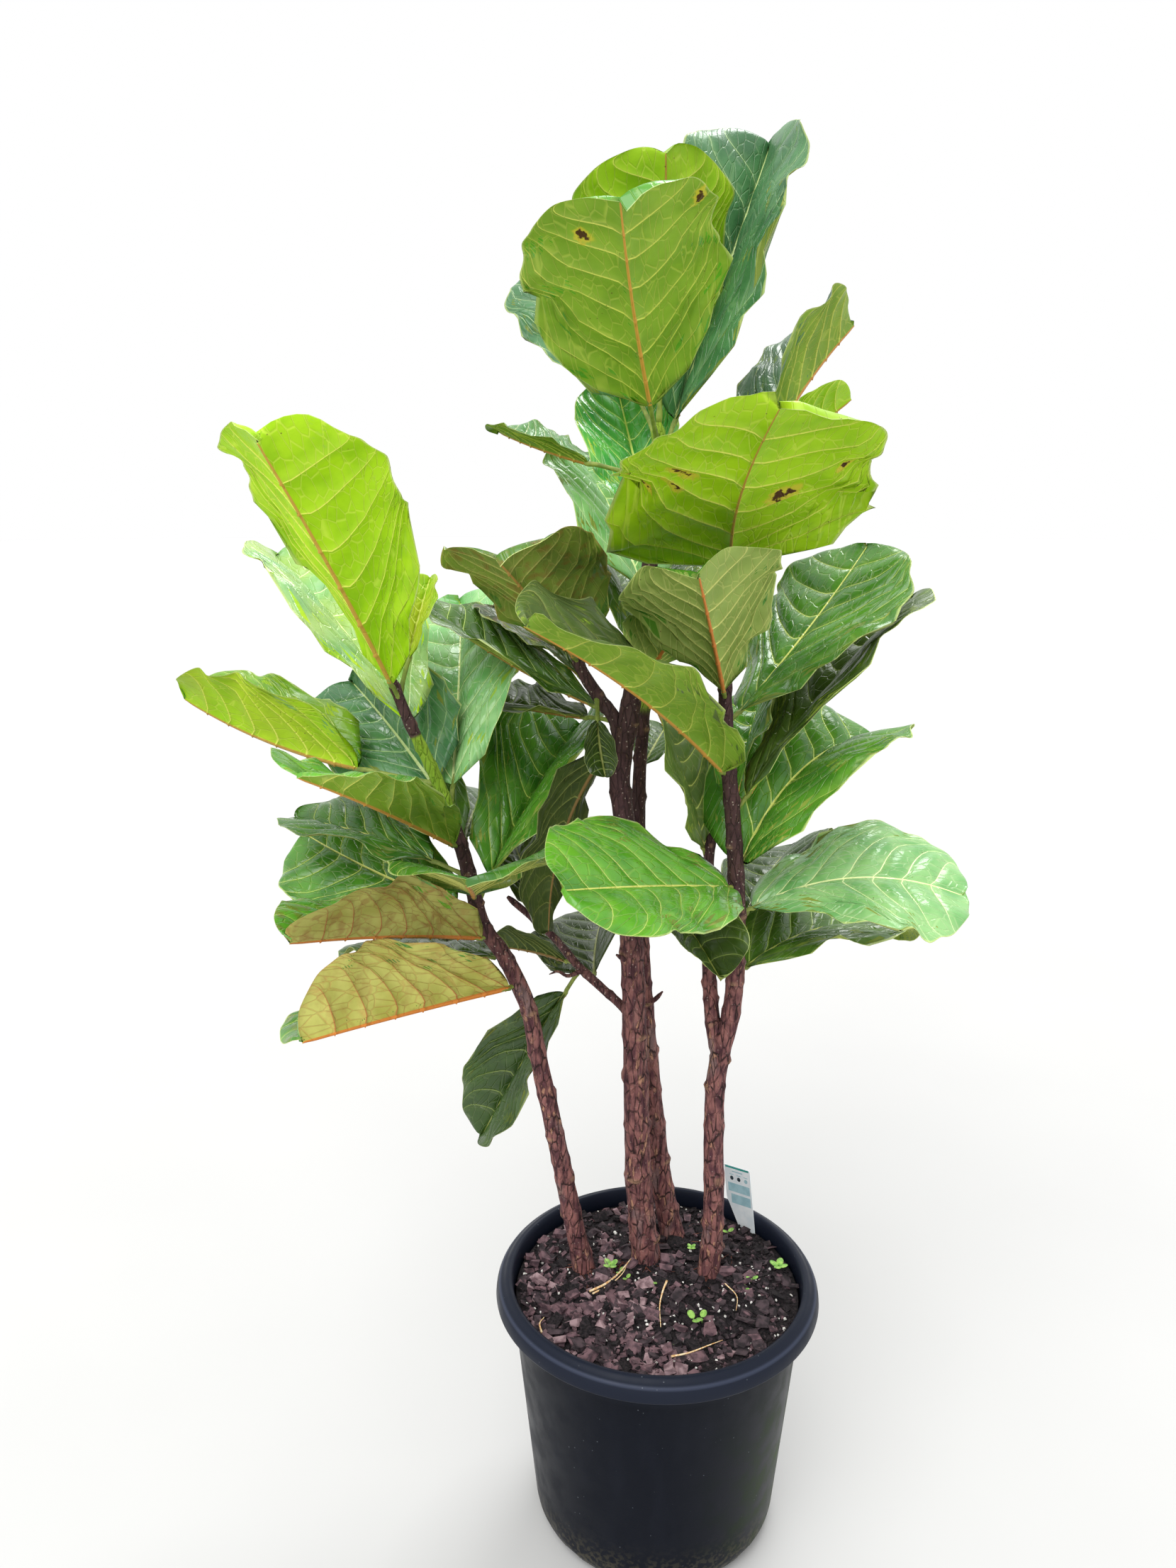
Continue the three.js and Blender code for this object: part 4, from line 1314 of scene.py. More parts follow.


# The light of each leaf is painted brightness, standing in for the light and shade that reach it.
LEAVES = [
    Leaf("centre", 1350, (-68, 86, 0), (45, 210, 210), (15, 10, 20, 10, 0), 0.7, Upper.LIME, Under.LIME, light=0.85),
    Leaf(
        "centre", 1320, (-106, 44, -14), (55, 260, 195), (20, -5, 15, 5, -5), 0.8,
        Upper.FRESH, Under.OLIVE_LIME, light=1.15, wave=1.3, blemishes=(Blemish(0.72, -0.86, 7),
        Blemish(0.76, 0.4, 6)),
    ),
    Leaf("centre", 1295, (42, 64, -22), (60, 350, 215), (10, -5, 50, 40, 5), 0.8, Upper.SKY, Under.OLIVE, light=1.05),
    Leaf("centre", 1325, (120, 50, 24), (60, 255, 185), (10, 0, 0, 15, 5), 0.7, Upper.SKY, Under.OLIVE, light=1.05),
    Leaf(
        "centre", 1225, (106, 52, 22), (25, 195, 130), (10, 0, 35, 25, 0), 0.9,
        Upper.GLOSSY, Under.OLIVE_LIME, light=1.55, wave=0.8,
    ),
    Leaf(
        "centre", 1285, (162, 14, 2), (80, 125, 90), (-5, 25, 20, 20, 5), 0.6,
        Upper.PALE, Under.OLIVE_LIME, light=0.85,
    ),
    Leaf(
        "centre", 1150, (110, 52, -8), (25, 240, 175), (30, 0, 15, 15, -10), 0.9,
        Upper.PALE, Under.OLIVE, light=1.45,
    ),
    Leaf(
        "right", 1180, (-100, 26, -4), (40, 290, 240), (-5, -20, 0, -10, 0), 1.1,
        Upper.LIME, Under.LIME, light=1.05, wave=1.4, blemishes=(Blemish(0.52, 0.5, 8),
        Blemish(0.4, 0.58, 7), Blemish(0.2, 0.84, 7), Blemish(0.46, -0.34, 9), Blemish(0.5, -0.78, 6)),
    ),
    Leaf(
        "right", 1260, (52, 46, 22), (45, 280, 155), (15, -5, 30, 55, -5), 0.6,
        Upper.SKY, Under.OLIVE_LIME, light=0.9,
    ),
    Leaf("right", 1235, (12, 54, 16), (55, 125, 130), (20, 5, 15, 25, 0), 0.7, Upper.LIME, Under.LIME, light=1.05),
    Leaf(
        "right", 1050, (-104, 36, -8), (20, 245, 170), (5, 0, 30, 20, -5), 0.5,
        Upper.MID, Under.GREY_OLIVE, light=1.25,
    ),
    Leaf("right", 1020, (38, 36, 6), (25, 285, 200), (-5, -5, -5, -5, -10), 0.4, Upper.MID, Under.OLIVE, light=1.1),
    Leaf("right", 915, (32, 48, -2), (30, 340, 170), (20, -5, -5, 30, -5), 0.4, Upper.DARK, Under.OLIVE, light=1.75),
    Leaf("right", 840, (36, 64, -12), (20, 280, 210), (75, 10, 15, 25, 0), 0.9, Upper.MID, Under.OLIVE, light=1.6),
    Leaf("right", 795, (8, 28, 0), (20, 255, 215), (50, 15, 10, -10, -5), 0.5, Upper.PALE, Under.OLIVE, light=1.3),
    Leaf("right", 720, (42, 16, -2), (20, 285, 185), (40, 5, 15, 10, 0), 0.7, Upper.DEEP, Under.OLIVE, light=1.6),
    Leaf("right", 830, (-130, 16, 18), (15, 295, 180), (5, 0, 0, 20, 5), 0.7, Upper.FRESH, Under.OLIVE, light=1.1),
    Leaf(
        "right_limb", 840, (156, 76, 6), (25, 180, 150), (15, 0, 10, 20, -15), 0.7,
        Upper.OLIVE, Under.OLIVE, light=1.75,
    ),
    Leaf(
        "right", 960, (-134, 40, 38), (15, 340, 190), (15, -5, 45, 5, 5), 0.7,
        Upper.OLIVE, Under.OLIVE_LIME, light=1.05,
    ),
    Leaf(
        "centre", 1050, (-52, 48, 6), (25, 155, 115), (20, 20, 15, 25, 0), 0.6,
        Upper.MID, Under.GREY_OLIVE, light=1.6,
    ),
    Leaf("left", 875, (92, 6, -4), (45, 255, 170), (20, 10, 15, 15, -5), 0.5, Upper.DEEP, Under.OLIVE, light=1.05),
    Leaf(
        "right_limb", 855, (82, 36, -20), (15, 190, 95), (25, 0, 25, 15, 0), 0.4,
        Upper.MID, Under.OLIVE, light=1.05,
    ),
    Leaf("right", 920, (72, 42, 18), (20, 200, 110), (20, -5, 15, 35, 5), 0.6, Upper.MID, Under.OLIVE, light=1.75),
    Leaf("right", 775, (64, 22, 12), (35, 195, 150), (25, -5, 0, 15, 5), 0.6, Upper.DEEP, Under.OLIVE, light=0.9),
    Leaf("rear", 815, (-68, -8, -2), (35, 185, 110), (20, 0, 25, 35, 0), 0.6, Upper.DARK, Under.OLIVE, light=1.35),
    Leaf(
        "crown_branch", 1085, (-116, 38, -10), (15, 225, 180), (15, -5, 25, 20, 0), 0.7,
        Upper.DEEP, Under.RUST_OLIVE, light=1.65, rust=0.55,
    ),
    Leaf(
        "crown_branch", 1030, (154, 18, 12), (20, 270, 100), (-5, 15, 30, 20, 0), 0.5,
        Upper.DEEP, Under.OLIVE, light=1.2,
    ),
    Leaf(
        "crown_branch", 1020, (144, 0, 4), (40, 220, 110), (0, 15, 10, 15, 5), 0.6,
        Upper.DARK, Under.OLIVE, light=0.9,
    ),
    Leaf(
        "crown_branch", 1050, (-88, -46, -10), (35, 75, 40), (0, -10, 20, 15, 0), 0.6,
        Upper.DARK, Under.OLIVE, light=0.75,
    ),
    Leaf(
        "left", 920, (90, 44, 18), (40, 320, 195), (15, -10, 5, 10, 0), 0.6,
        Upper.PALE, Under.OLIVE_LIME, light=1.45,
    ),
    Leaf("left", 810, (60, 42, -6), (40, 275, 185), (25, -5, 45, 40, 5), 0.6, Upper.MID, Under.OLIVE, light=1.4),
    Leaf("centre", 1020, (164, -54, -14), (45, 235, 120), (40, 0, 15, 0, 15), 0.9, Upper.DARK, Under.DEEP, light=0.7),
    Leaf(
        "left", 1050, (-118, 56, -2), (25, 325, 195), (15, -10, 30, 25, -5), 0.4,
        Upper.LIME, Under.LIME, light=1.35,
    ),
    Leaf("left", 1055, (62, 64, -10), (45, 100, 55), (15, -5, 40, 35, 0), 0.6, Upper.LIME, Under.LIME, gold=0.7),
    Leaf(
        "left", 1015, (134, 42, 8), (15, 305, 200), (15, -5, 35, 10, 0), 0.7,
        Upper.PALE, Under.LIME, light=1.3, gold=0.35,
    ),
    Leaf("left", 955, (164, 8, 0), (100, 245, 155), (-15, 10, 65, 40, 5), 1.1, Upper.FRESH, Under.LIME, gold=0.3),
    Leaf("left", 935, (126, 28, 22), (30, 245, 170), (15, 0, 0, 25, 5), 1, Upper.SKY, Under.OLIVE, light=1.15),
    Leaf("left", 860, (118, 34, 26), (30, 290, 140), (10, 5, 15, 30, 10), 0.7, Upper.DEEP, Under.OLIVE, light=1.25),
    Leaf(
        "left", 880, (-128, 32, 10), (15, 270, 155), (5, -15, 40, 0, 10), 0.6,
        Upper.FRESH, Under.OLIVE_LIME, light=1.2,
    ),
    Leaf("left", 800, (146, 6, 22), (35, 275, 170), (0, 10, -5, 5, 15), 0.6, Upper.MID, Under.OLIVE, light=1.3),
    Leaf("left", 845, (148, 12, 12), (55, 240, 125), (20, 5, 15, 20, 0), 0.6, Upper.MID, Under.OLIVE, light=0.85),
    Leaf("left", 820, (-86, 24, 0), (25, 235, 175), (5, 0, 15, 15, 0), 0.6, Upper.MID, Under.OLIVE, light=1.05),
    Leaf(
        "left", 770, (-134, 18, 0), (15, 275, 150), (5, -10, 65, 15, 5), 0.7,
        Upper.FRESH, Under.RUST, light=1.05, rust=0.55,
    ),
    Leaf(
        "left", 710, (-136, 6, -12), (15, 290, 165), (0, -10, 80, 10, -5), 0.6,
        Upper.MID, Under.RUST, light=1.55, rust=0.3,
    ),
    Leaf("left", 745, (150, -6, -6), (15, 225, 130), (5, 5, 5, 0, 0), 0.6, Upper.DEEP, Under.OLIVE, light=1.05),
    Leaf(
        "low_twig", 710, (164, -60, 56), (40, 235, 125), (0, -5, 30, 25, 0), 0.6,
        Upper.DEEP, Under.OLIVE, light=0.7,
    ),
    Leaf("low_twig", 715, (146, 4, -2), (15, 105, 70), (15, 5, 65, 15, 0), 0.6, Upper.DARK, Under.DEEP, light=0.7),
    Leaf("low_twig", 760, (106, 28, 8), (30, 155, 95), (25, 0, 15, 20, 0), 0.5, Upper.DARK, Under.OLIVE, light=0.85),
    Leaf(
        "low_twig", 695, (90, 14, 22), (15, 185, 155), (20, 5, 5, 35, -5), 1.1,
        Upper.DARK, Under.OLIVE, light=0.8, blemishes=(Blemish(0.7, 0.3, 8),),
    ),
    Leaf("rear", 940, (74, 14, -2), (25, 150, 80), (15, -5, 15, 15, 0), 0.6, Upper.DEEP, Under.OLIVE, light=1.05),
    Leaf(
        "crown_branch", 1060, (128, 26, 6), (20, 195, 110), (15, 0, 25, 30, 0), 0.5,
        Upper.DARK, Under.OLIVE, light=0.7, rust=0.5,
    ),
    Leaf(
        "centre", 1145, (72, 20, -2), (40, 260, 185), (15, -10, 15, 15, 0), 0.6,
        Upper.DEEP, Under.OLIVE, light=1.05,
    ),
    Leaf("rear", 1060, (98, 32, -18), (30, 255, 190), (20, 5, 30, 15, 0), 0.6, Upper.DEEP, Under.OLIVE, light=1.05),
]


# ---------------------------------------------------------------- pot, mix and label


@dataclass
class Pot:
    """Round nursery pot with a rolled lip and a ring of drainage slots. Millimetres."""

    height: float = 330.0
    corner_radius: float = 153.0
    corner_height: float = 26.0
    top_radius: float = 182.4
    wall: float = 2.4
    lip_radius: float = 200.0
    skirt: float = 306.0
    ridge_radius: float = 196.5
    ridge: float = 323.0
    sides: int = 144
    slots: int = 12
    slot_size: tuple[float, float, float] = (36.0, 24.0, 16.0)
    slot_rounding: float = 5.0
    algae_side: float = -18.0  # degrees from +X of the flank that algae grows on

    def inside(self, height: float) -> float:
        """Radius of the inside of the wall at a height."""
        rise = (height - self.corner_height) / (self.height - self.corner_height)
        return self.corner_radius + rise * (self.top_radius - self.corner_radius) - self.wall

    def profile(self) -> list[tuple[float, float]]:
        """Radius and height of each point of the turned section, from the base's centre round the lip and back.

        Returns:
            The points in order.
        """
        wall = [(self.inside(h) + self.wall, h) for h in range(40, 300, 20)]
        inner = [(self.inside(h), h) for h in range(320, 30, -20)]
        lip, ridge, top = self.lip_radius, self.ridge, self.height
        return [
            (0, 2.0),
            (122, 2.0),
            (124, 0.0),
            (134, 0.0),
            (139, 1.6),
            (144, 5.5),
            (148.5, 11.5),
            (151.5, 18.5),
            (153, 26),
            *wall,
            (self.inside(self.skirt) + self.wall, self.skirt),
            (self.inside(ridge) + self.wall, ridge - 1.6),
            (self.ridge_radius - self.wall, ridge - 2.8),
            (lip - self.wall, self.skirt + 5),
            (lip - self.wall, self.skirt + 0.6),
            (lip - 1.2, self.skirt),
            (lip - 0.3, self.skirt + 0.7),
            (lip, self.skirt + 2.4),
            (lip - 0.5, self.skirt + 7),
            (lip - 1.2, self.skirt + 11),
            (lip - 2.3, self.skirt + 14),
            (self.ridge_radius + 0.1, ridge - 1.2),
            (self.ridge_radius - 1.0, ridge + 0.6),
            (self.ridge_radius - 3.2, ridge + 1.8),
            (self.ridge_radius - 5.0, ridge + 2.6),
            (self.ridge_radius - 7.5, ridge + 4.6),
            (self.top_radius + 5, top - 0.8),
            (self.top_radius + 2.2, top),
            (self.top_radius, top - 0.3),
            (self.inside(top) - 0.2, top - 2),
            *inner,
            (self.inside(28), 28),
            (146, 14),
            (141, 7.5),
            (134, 4.2),
            (124, 3.4),
            (0, 3.4),
        ]

    def build(self, finish: bpy.types.Material) -> bpy.types.Object:
        """Turn the pot, cut its slots and mark where algae and mud sit.

        Args:
            finish: Plastic.

        Returns:
            The finished pot.
        """
        piece = Piece("nursery_pot")
        piece.skins = [finish]
        bm = piece.bm
        points = [bm.verts.new((radius, 0, height)) for radius, height in self.profile()]
        edges = [bm.edges.new(pair) for pair in zip(points, points[1:])]
        bmesh.ops.spin(
            bm, geom=points + edges, cent=(0, 0, 0), axis=(0, 0, 1), angle=2 * math.pi, steps=self.sides,
            use_merge=True
        )
        piece.weld(bm.verts, 1e-4)
        for corner in bm.verts:
            self.mark(piece, corner)
        piece.scale_to_metres()
        pot = piece.finish(["pot"], "pot_plastic")
        self.cut_slots(pot)
        return pot

    def mark(self, piece: Piece, corner: bmesh.types.BMVert) -> None:
        """Paint algae on one flank, mud splashes low down, a painted highlight along the lip's crease and painted
        sheen on the lip.

        Args:
            piece: The pot's mesh.
            corner: Corner to mark.
        """
        way = math.atan2(corner.co.y, corner.co.x)
        flank = max(0.0, math.cos(way - math.radians(self.algae_side))) ** 6
        moss = flank * smoothstep(310, 130, corner.co.z)
        splash = smoothstep(70, 8, corner.co.z)
        # Painted highlight along the lip's crease; the last channel marks the lip for its painted sheen.
        painted_crease_highlight = math.exp(-(((corner.co.z - self.ridge) / 1.8) ** 2)) * (math.hypot(*corner.co.xy) > self.top_radius + 5)
        corner[piece.marks] = (painted_crease_highlight, moss, splash, float(corner.co.z > self.skirt - 1))

    def cut_slots(self, pot: bpy.types.Object) -> None:
        """Cut the drainage slots through the bottom corner, with rounded ends.

        Args:
            pot: Pot to cut.
        """
        bm = bmesh.new()
        for i in range(self.slots):
            turn = Matrix.Rotation((i + 0.5) / self.slots * 2 * math.pi, 4, "Z")
            deep, wide, high = (mm * MM for mm in self.slot_size)
            place = turn @ Matrix.Translation((self.corner_radius * MM, 0, high / 2 - 1 * MM))
            box = bmesh.ops.create_cube(bm, size=1.0, matrix=place @ Matrix.Diagonal((deep, wide, high, 1)))
            upright = turn @ Vector((1, 0, 0))
            edges = {edge for corner in box["verts"] for edge in corner.link_edges}
            long_edges = [e for e in edges if abs((e.verts[0].co - e.verts[1].co).normalized().dot(upright)) > 0.9]
            radius = self.slot_rounding * MM
            bmesh.ops.bevel(bm, geom=long_edges, offset=radius, segments=4, profile=0.5, affect="EDGES", material=-1)
        mesh = bpy.data.meshes.new("slot_cutters")
        bm.to_mesh(mesh)
        bm.free()
        cutter = bpy.data.objects.new("slot_cutters", mesh)
        bpy.context.scene.collection.objects.link(cutter)
        cut = pot.modifiers.new("slots", "BOOLEAN")
        cut.object = cutter
        cut.operation = "DIFFERENCE"
        cut.solver = "EXACT"
        shaped = bpy.data.meshes.new_from_object(pot.evaluated_get(bpy.context.evaluated_depsgraph_get()))
        pot.modifiers.clear()
        pot.data = shaped
        bpy.data.objects.remove(cutter)


@dataclass
class Mix:
    """Potting mix: a lumpy crumbed surface under loose bark, clods, perlite, dead roots and seedlings. Millimetres."""

    pot: Pot
    edge: float = 309.0
    crown: float = 315.0
    rings: int = 64
    spokes: int = 180
    depth: float = 22.0
    chips: int = 1500
    clods: int = 2600
    perlite: int = 270
    fine_roots: int = 46
    stem_room: float = 20.0

    def __post_init__(self) -> None:
        """Seed the litter so that it falls the same way each time."""
        self.luck = random.Random(41)

    def surface(self, x: float, y: float) -> float:
        """Height of the mix at a place, in millimetres.

        Args:
            x: Place to the right.
            y: Place to the back.

        Returns:
            The height.
        """
        out = min(1.0, math.hypot(x, y) / self.pot.inside(self.edge))
        place = Vector((x, y, 0))
        lumps = 4.2 * rough(place, 34, 3) + 2.2 * rough(place, 12, 5) + 1.2 * rough(place, 4.5, 8)
        heap = 3.0 * math.exp(-(((x - 8) ** 2 + (y - 60) ** 2) / 60**2))
        return blend(self.crown, self.edge, out**2) + lumps * (1 - out**10) + heap - 1.5

    def build(self, finishes: dict[str, bpy.types.Material]) -> list[bpy.types.Object]:
        """Lay the surface and scatter what lies on it.

        Args:
            finishes: Materials by name.

        Returns:
            The finished pieces.
        """
        bed = self.build_bed(finishes["compost"])
        return [bed, self.build_litter(finishes), self.build_roots(finishes), self.build_seedlings(finishes)]

    def build_bed(self, finish: bpy.types.Material) -> bpy.types.Object:
        """Surface of the mix as a closed shallow dish.

        Args:
            finish: Compost.

        Returns:
            The bed.
        """
        piece = Piece("potting_bed")
        piece.skins = [finish]
        reach = self.pot.inside(self.edge - self.depth) - 0.5

        def place(row: int, column: int) -> Vector:
            """Corner on a ring: outwards over the top, then down the side and back in below.

            Args:
                row: Ring, from the middle out.
                column: Spoke.

            Returns:
                The corner.
            """
            way = 2 * math.pi * (column % self.spokes) / self.spokes
            if row == 0 or row > self.rings + 2:
                return Vector((0, 0, self.surface(0, 0) if row == 0 else self.edge - self.depth))
            share = min(1.0, row / self.rings) ** 0.8
            radius = reach * share
            x, y = radius * math.cos(way), radius * math.sin(way)
            drop = self.edge - self.depth if row > self.rings + 1 else None
            return Vector((x, y, self.surface(x, y) if drop is None else drop))

        spots = piece.grid(self.rings + 4, self.spokes + 1, place)
        piece.weld(spots, 1e-4)
        piece.scale_to_metres()
        return piece.finish(["soil_mix"], "potting_mix")

    def free_spot(self, lean: tuple[float, float] = (0.0, 0.0), pull: float = 0.0) -> Vector:
        """A place on the mix away from the stems, pulled towards one side.

        Args:
            lean: Place that it is pulled towards.
            pull: 0 for anywhere, 1 for close to that place.

        Returns:
            The place.
        """
        reach = self.pot.inside(self.edge) - 7
        while True:
            way, out = self.luck.uniform(0, 2 * math.pi), math.sqrt(self.luck.random()) * reach
            x, y = out * math.cos(way), out * math.sin(way)
            favour = math.exp(-math.hypot(x - lean[0], y - lean[1]) / 90) if pull else 1.0
            stems = [LIMBS[stem].at_height(self.crown) for stem in STEMS]
            near = min(math.hypot(x - s.x, y - s.y) for s in stems)
            if near > self.stem_room and self.luck.random() < 1 - pull + pull * favour:
                return Vector((x, y, self.surface(x, y)))

    def tumble(self, place: Vector, size: tuple[float, float, float], tilt: float) -> Matrix:
        """Placement of one loose crumb.

        Args:
            place: Middle of the crumb.
            size: Its three sizes.
            tilt: How far it may tip, in radians.

        Returns:
            The matrix.
        """
        turn = Matrix.Rotation(self.luck.uniform(0, 2 * math.pi), 4, "Z")
        nod = Matrix.Rotation(self.luck.uniform(-tilt, tilt), 4, "X")
        roll = Matrix.Rotation(self.luck.uniform(-tilt, tilt), 4, "Y")
        return Matrix.Translation(place) @ turn @ nod @ roll @ Matrix.Diagonal((*size, 1))

    def build_litter(self, finishes: dict[str, bpy.types.Material]) -> bpy.types.Object:
        """Bark chips, crumbs of compost and white perlite.

        Args:
            finishes: Materials by name.

        Returns:
            The litter.
        """
        piece = Piece("bark_and_perlite")
        pink, red, brown, compost, perlite = range(5)
        piece.skins = [finishes[name] for name in ("chip_pink", "chip_red", "chip_brown", "compost", "perlite")]
        for _ in range(self.chips):
            place = self.free_spot((-60, -60), 0.75)
            length = self.luck.choice((4, 5, 6, 7, 8, 10, 15)) * self.luck.uniform(0.8, 1.3)
            size = (length, length * self.luck.uniform(0.5, 0.85), length * self.luck.uniform(0.16, 0.34))
            fresh = place.x < 0 or place.y < -118
            mixed = (pink, red, red, brown, brown, compost) if fresh else (red, brown, brown, compost, compost)
            skin = self.luck.choice(mixed)
            self.crumb(piece, place + Vector((0, 0, 1.2 + size[2] * 0.4)), size, 0.5, skin, flat=True)
        for _ in range(self.clods):
            size = tuple(self.luck.uniform(1.8, 6.5) for _ in range(3))
            place, skin = self.free_spot(), compost if self.luck.random() < 0.75 else brown
            self.crumb(piece, place, size, 3.0, skin)
        for _ in range(self.perlite):
            size = tuple(self.luck.uniform(1.8, 4.2) for _ in range(3))
            self.crumb(piece, self.free_spot((80, -30), 0.6) + Vector((0, 0, 1.8)), size, 3.0, perlite)
        piece.scale_to_metres()
        return piece.finish([], "potting_mix", smooth=False)

    def crumb(
        self,
        piece: Piece,
        place: Vector,
        size: tuple[float, float, float],
        tilt: float,
        skin: int,
        flat: bool = False,
    ) -> None:
        """One loose crumb: a jittered slab when flat, else a rough ball.

        Args:
            piece: The litter's mesh.
            place: Middle of the crumb.
            size: Its three sizes.
            tilt: How far it may tip, in radians.
            skin: Material index.
            flat: Whether it is a slab.
        """
        matrix = self.tumble(place, size, tilt)
        if flat:
            corners = bmesh.ops.create_cube(piece.bm, size=1.0, matrix=matrix)["verts"]
        else:
            corners = bmesh.ops.create_icosphere(piece.bm, subdivisions=1, radius=0.55, matrix=matrix)["verts"]
        spread = max(size) * 0.13
        for corner in corners:
            corner.co += Vector([self.luck.uniform(-spread, spread) for _ in range(3)])
        piece.dress(corners, skin)

    def lying(self, points: Sequence[tuple[float, float, float]], steps: int) -> list[Vector]:
        """Line over the mix through places given as x, y and height above it."""
        limb = Limb((1, 1), tuple((x, y, self.surface(x, y) + lift) for x, y, lift in points))
        return [limb.point(i / steps) for i in range(steps + 1)]

    def build_roots(self, finishes: dict[str, bpy.types.Material]) -> bpy.types.Object:
        """Dead pale roots and thin red-brown ones that lie on the mix.

        Args:
            finishes: Materials by name.

        Returns:
            The roots.
        """
        piece = Piece("surface_roots")
        piece.skins = [finishes["root_pale"], finishes["root_red"]]
        pale = (
            ((-84, -22, 2), (-66, -16, 4), (-50, 0, 6), (-38, 16, 8), (-31, 27, 8)),
            ((-80, -28, 2), (-58, -12, 4), (-42, 4, 6), (-36, 22, 6)),
            ((12, -12, 7), (6, -30, 6), (1, -52, 4), (0, -89, 2)),
            ((9, -137, 2), (30, -130, 5), (54, -119, 4), (71, -108, 3)),
            ((-140, -92, 2), (-143, -80, 5), (-138, -68, 3)),
            ((84, -14, 3), (96, -36, 4), (92, -60, 2)),
        )
        for girth, points in zip((1.7, 1.2, 1.5, 1.3, 1.4, 0.9), pale):
            line = self.lying([(x, y, lift + 2.5) for x, y, lift in points], 14)
            spots = piece.tube(line, lambda row, angle, girth=girth: girth * (1 - 0.05 * row), 6)
            piece.weld(spots)
        for _ in range(self.fine_roots):
            start = LIMBS[self.luck.choice((*STEMS, "centre"))].at_height(self.crown)
            way, points = self.luck.uniform(0, 2 * math.pi), []
            x, y = start.x + 12 * math.cos(way), start.y + 12 * math.sin(way)
            for _ in range(5):
                points.append((x, y, self.luck.uniform(-0.6, 2.2)))
                way += self.luck.uniform(-0.7, 0.7)
                x, y = x + self.luck.uniform(6, 15) * math.cos(way), y + self.luck.uniform(6, 15) * math.sin(way)
                if math.hypot(x, y) > 160:
                    break
            if len(points) < 3:
                continue
            girth = self.luck.uniform(0.35, 0.9)
            spots = piece.tube(
                self.lying(points, 12), lambda row, angle, girth=girth: girth * (1 - 0.055 * row), 5, skin=1
            )
            piece.weld(spots)
        piece.scale_to_metres()
        return piece.finish([], "potting_mix")

    def build_seedlings(self, finishes: dict[str, bpy.types.Material]) -> bpy.types.Object:
        """Weed seedlings: two or four round seed leaves on a thin stalk.

        Args:
            finishes: Materials by name.

        Returns:
            The seedlings.
        """
        piece = Piece("seedlings")
        piece.skins = [finishes["seedling"]]
        spots = (
            (39, -80, 12, 2),
            (50, -78, 11, 2),
            (-56, 19, 11, 4),
            (-46, 12, 8, 2),
            (158, 24, 12, 4),
            (118, 0, 8, 2),
            (112, -12, 6, 2),
            (48, 60, 7, 4),
            (0, -8, 7, 2),
            (-39, -2, 7, 2),
            (101, 95, 9, 2),
            (12, -118, 5, 2),
        )
        for x, y, size, leaves in spots:
            self.seedling(piece, x, y, size, leaves)
        piece.scale_to_metres()
        return piece.finish([], "leaf_lime")

    def seedling(self, piece: Piece, x: float, y: float, size: float, leaves: int) -> None:
        """One seedling of a given leaf length.

        Args:
            piece: Mesh of all seedlings.
            x: Place to the right.
            y: Place to the back.
            size: Length of a leaf.
            leaves: Number of leaves.
        """
        foot = Vector((x, y, self.surface(x, y)))
        top = foot + Vector((self.luck.uniform(-2, 2), self.luck.uniform(-2, 2), size * 0.7))
        piece.weld(piece.tube([foot, (foot + top) / 2, top], lambda row, angle: 0.55, 6))
        start = self.luck.uniform(0, math.pi)
        for i in range(leaves):
            way = start + 2 * math.pi * i / leaves
            turn = Matrix.Translation(top) @ Matrix.Rotation(way, 4, "Z") @ Matrix.Rotation(-0.35, 4, "Y")
            blade = turn @ Matrix.Translation((size * 0.55, 0, 0)) @ Matrix.Diagonal((size / 2, size / 2.6, 0.7, 1))
            bmesh.ops.create_uvsphere(piece.bm, u_segments=12, v_segments=6, radius=1.0, matrix=blade)


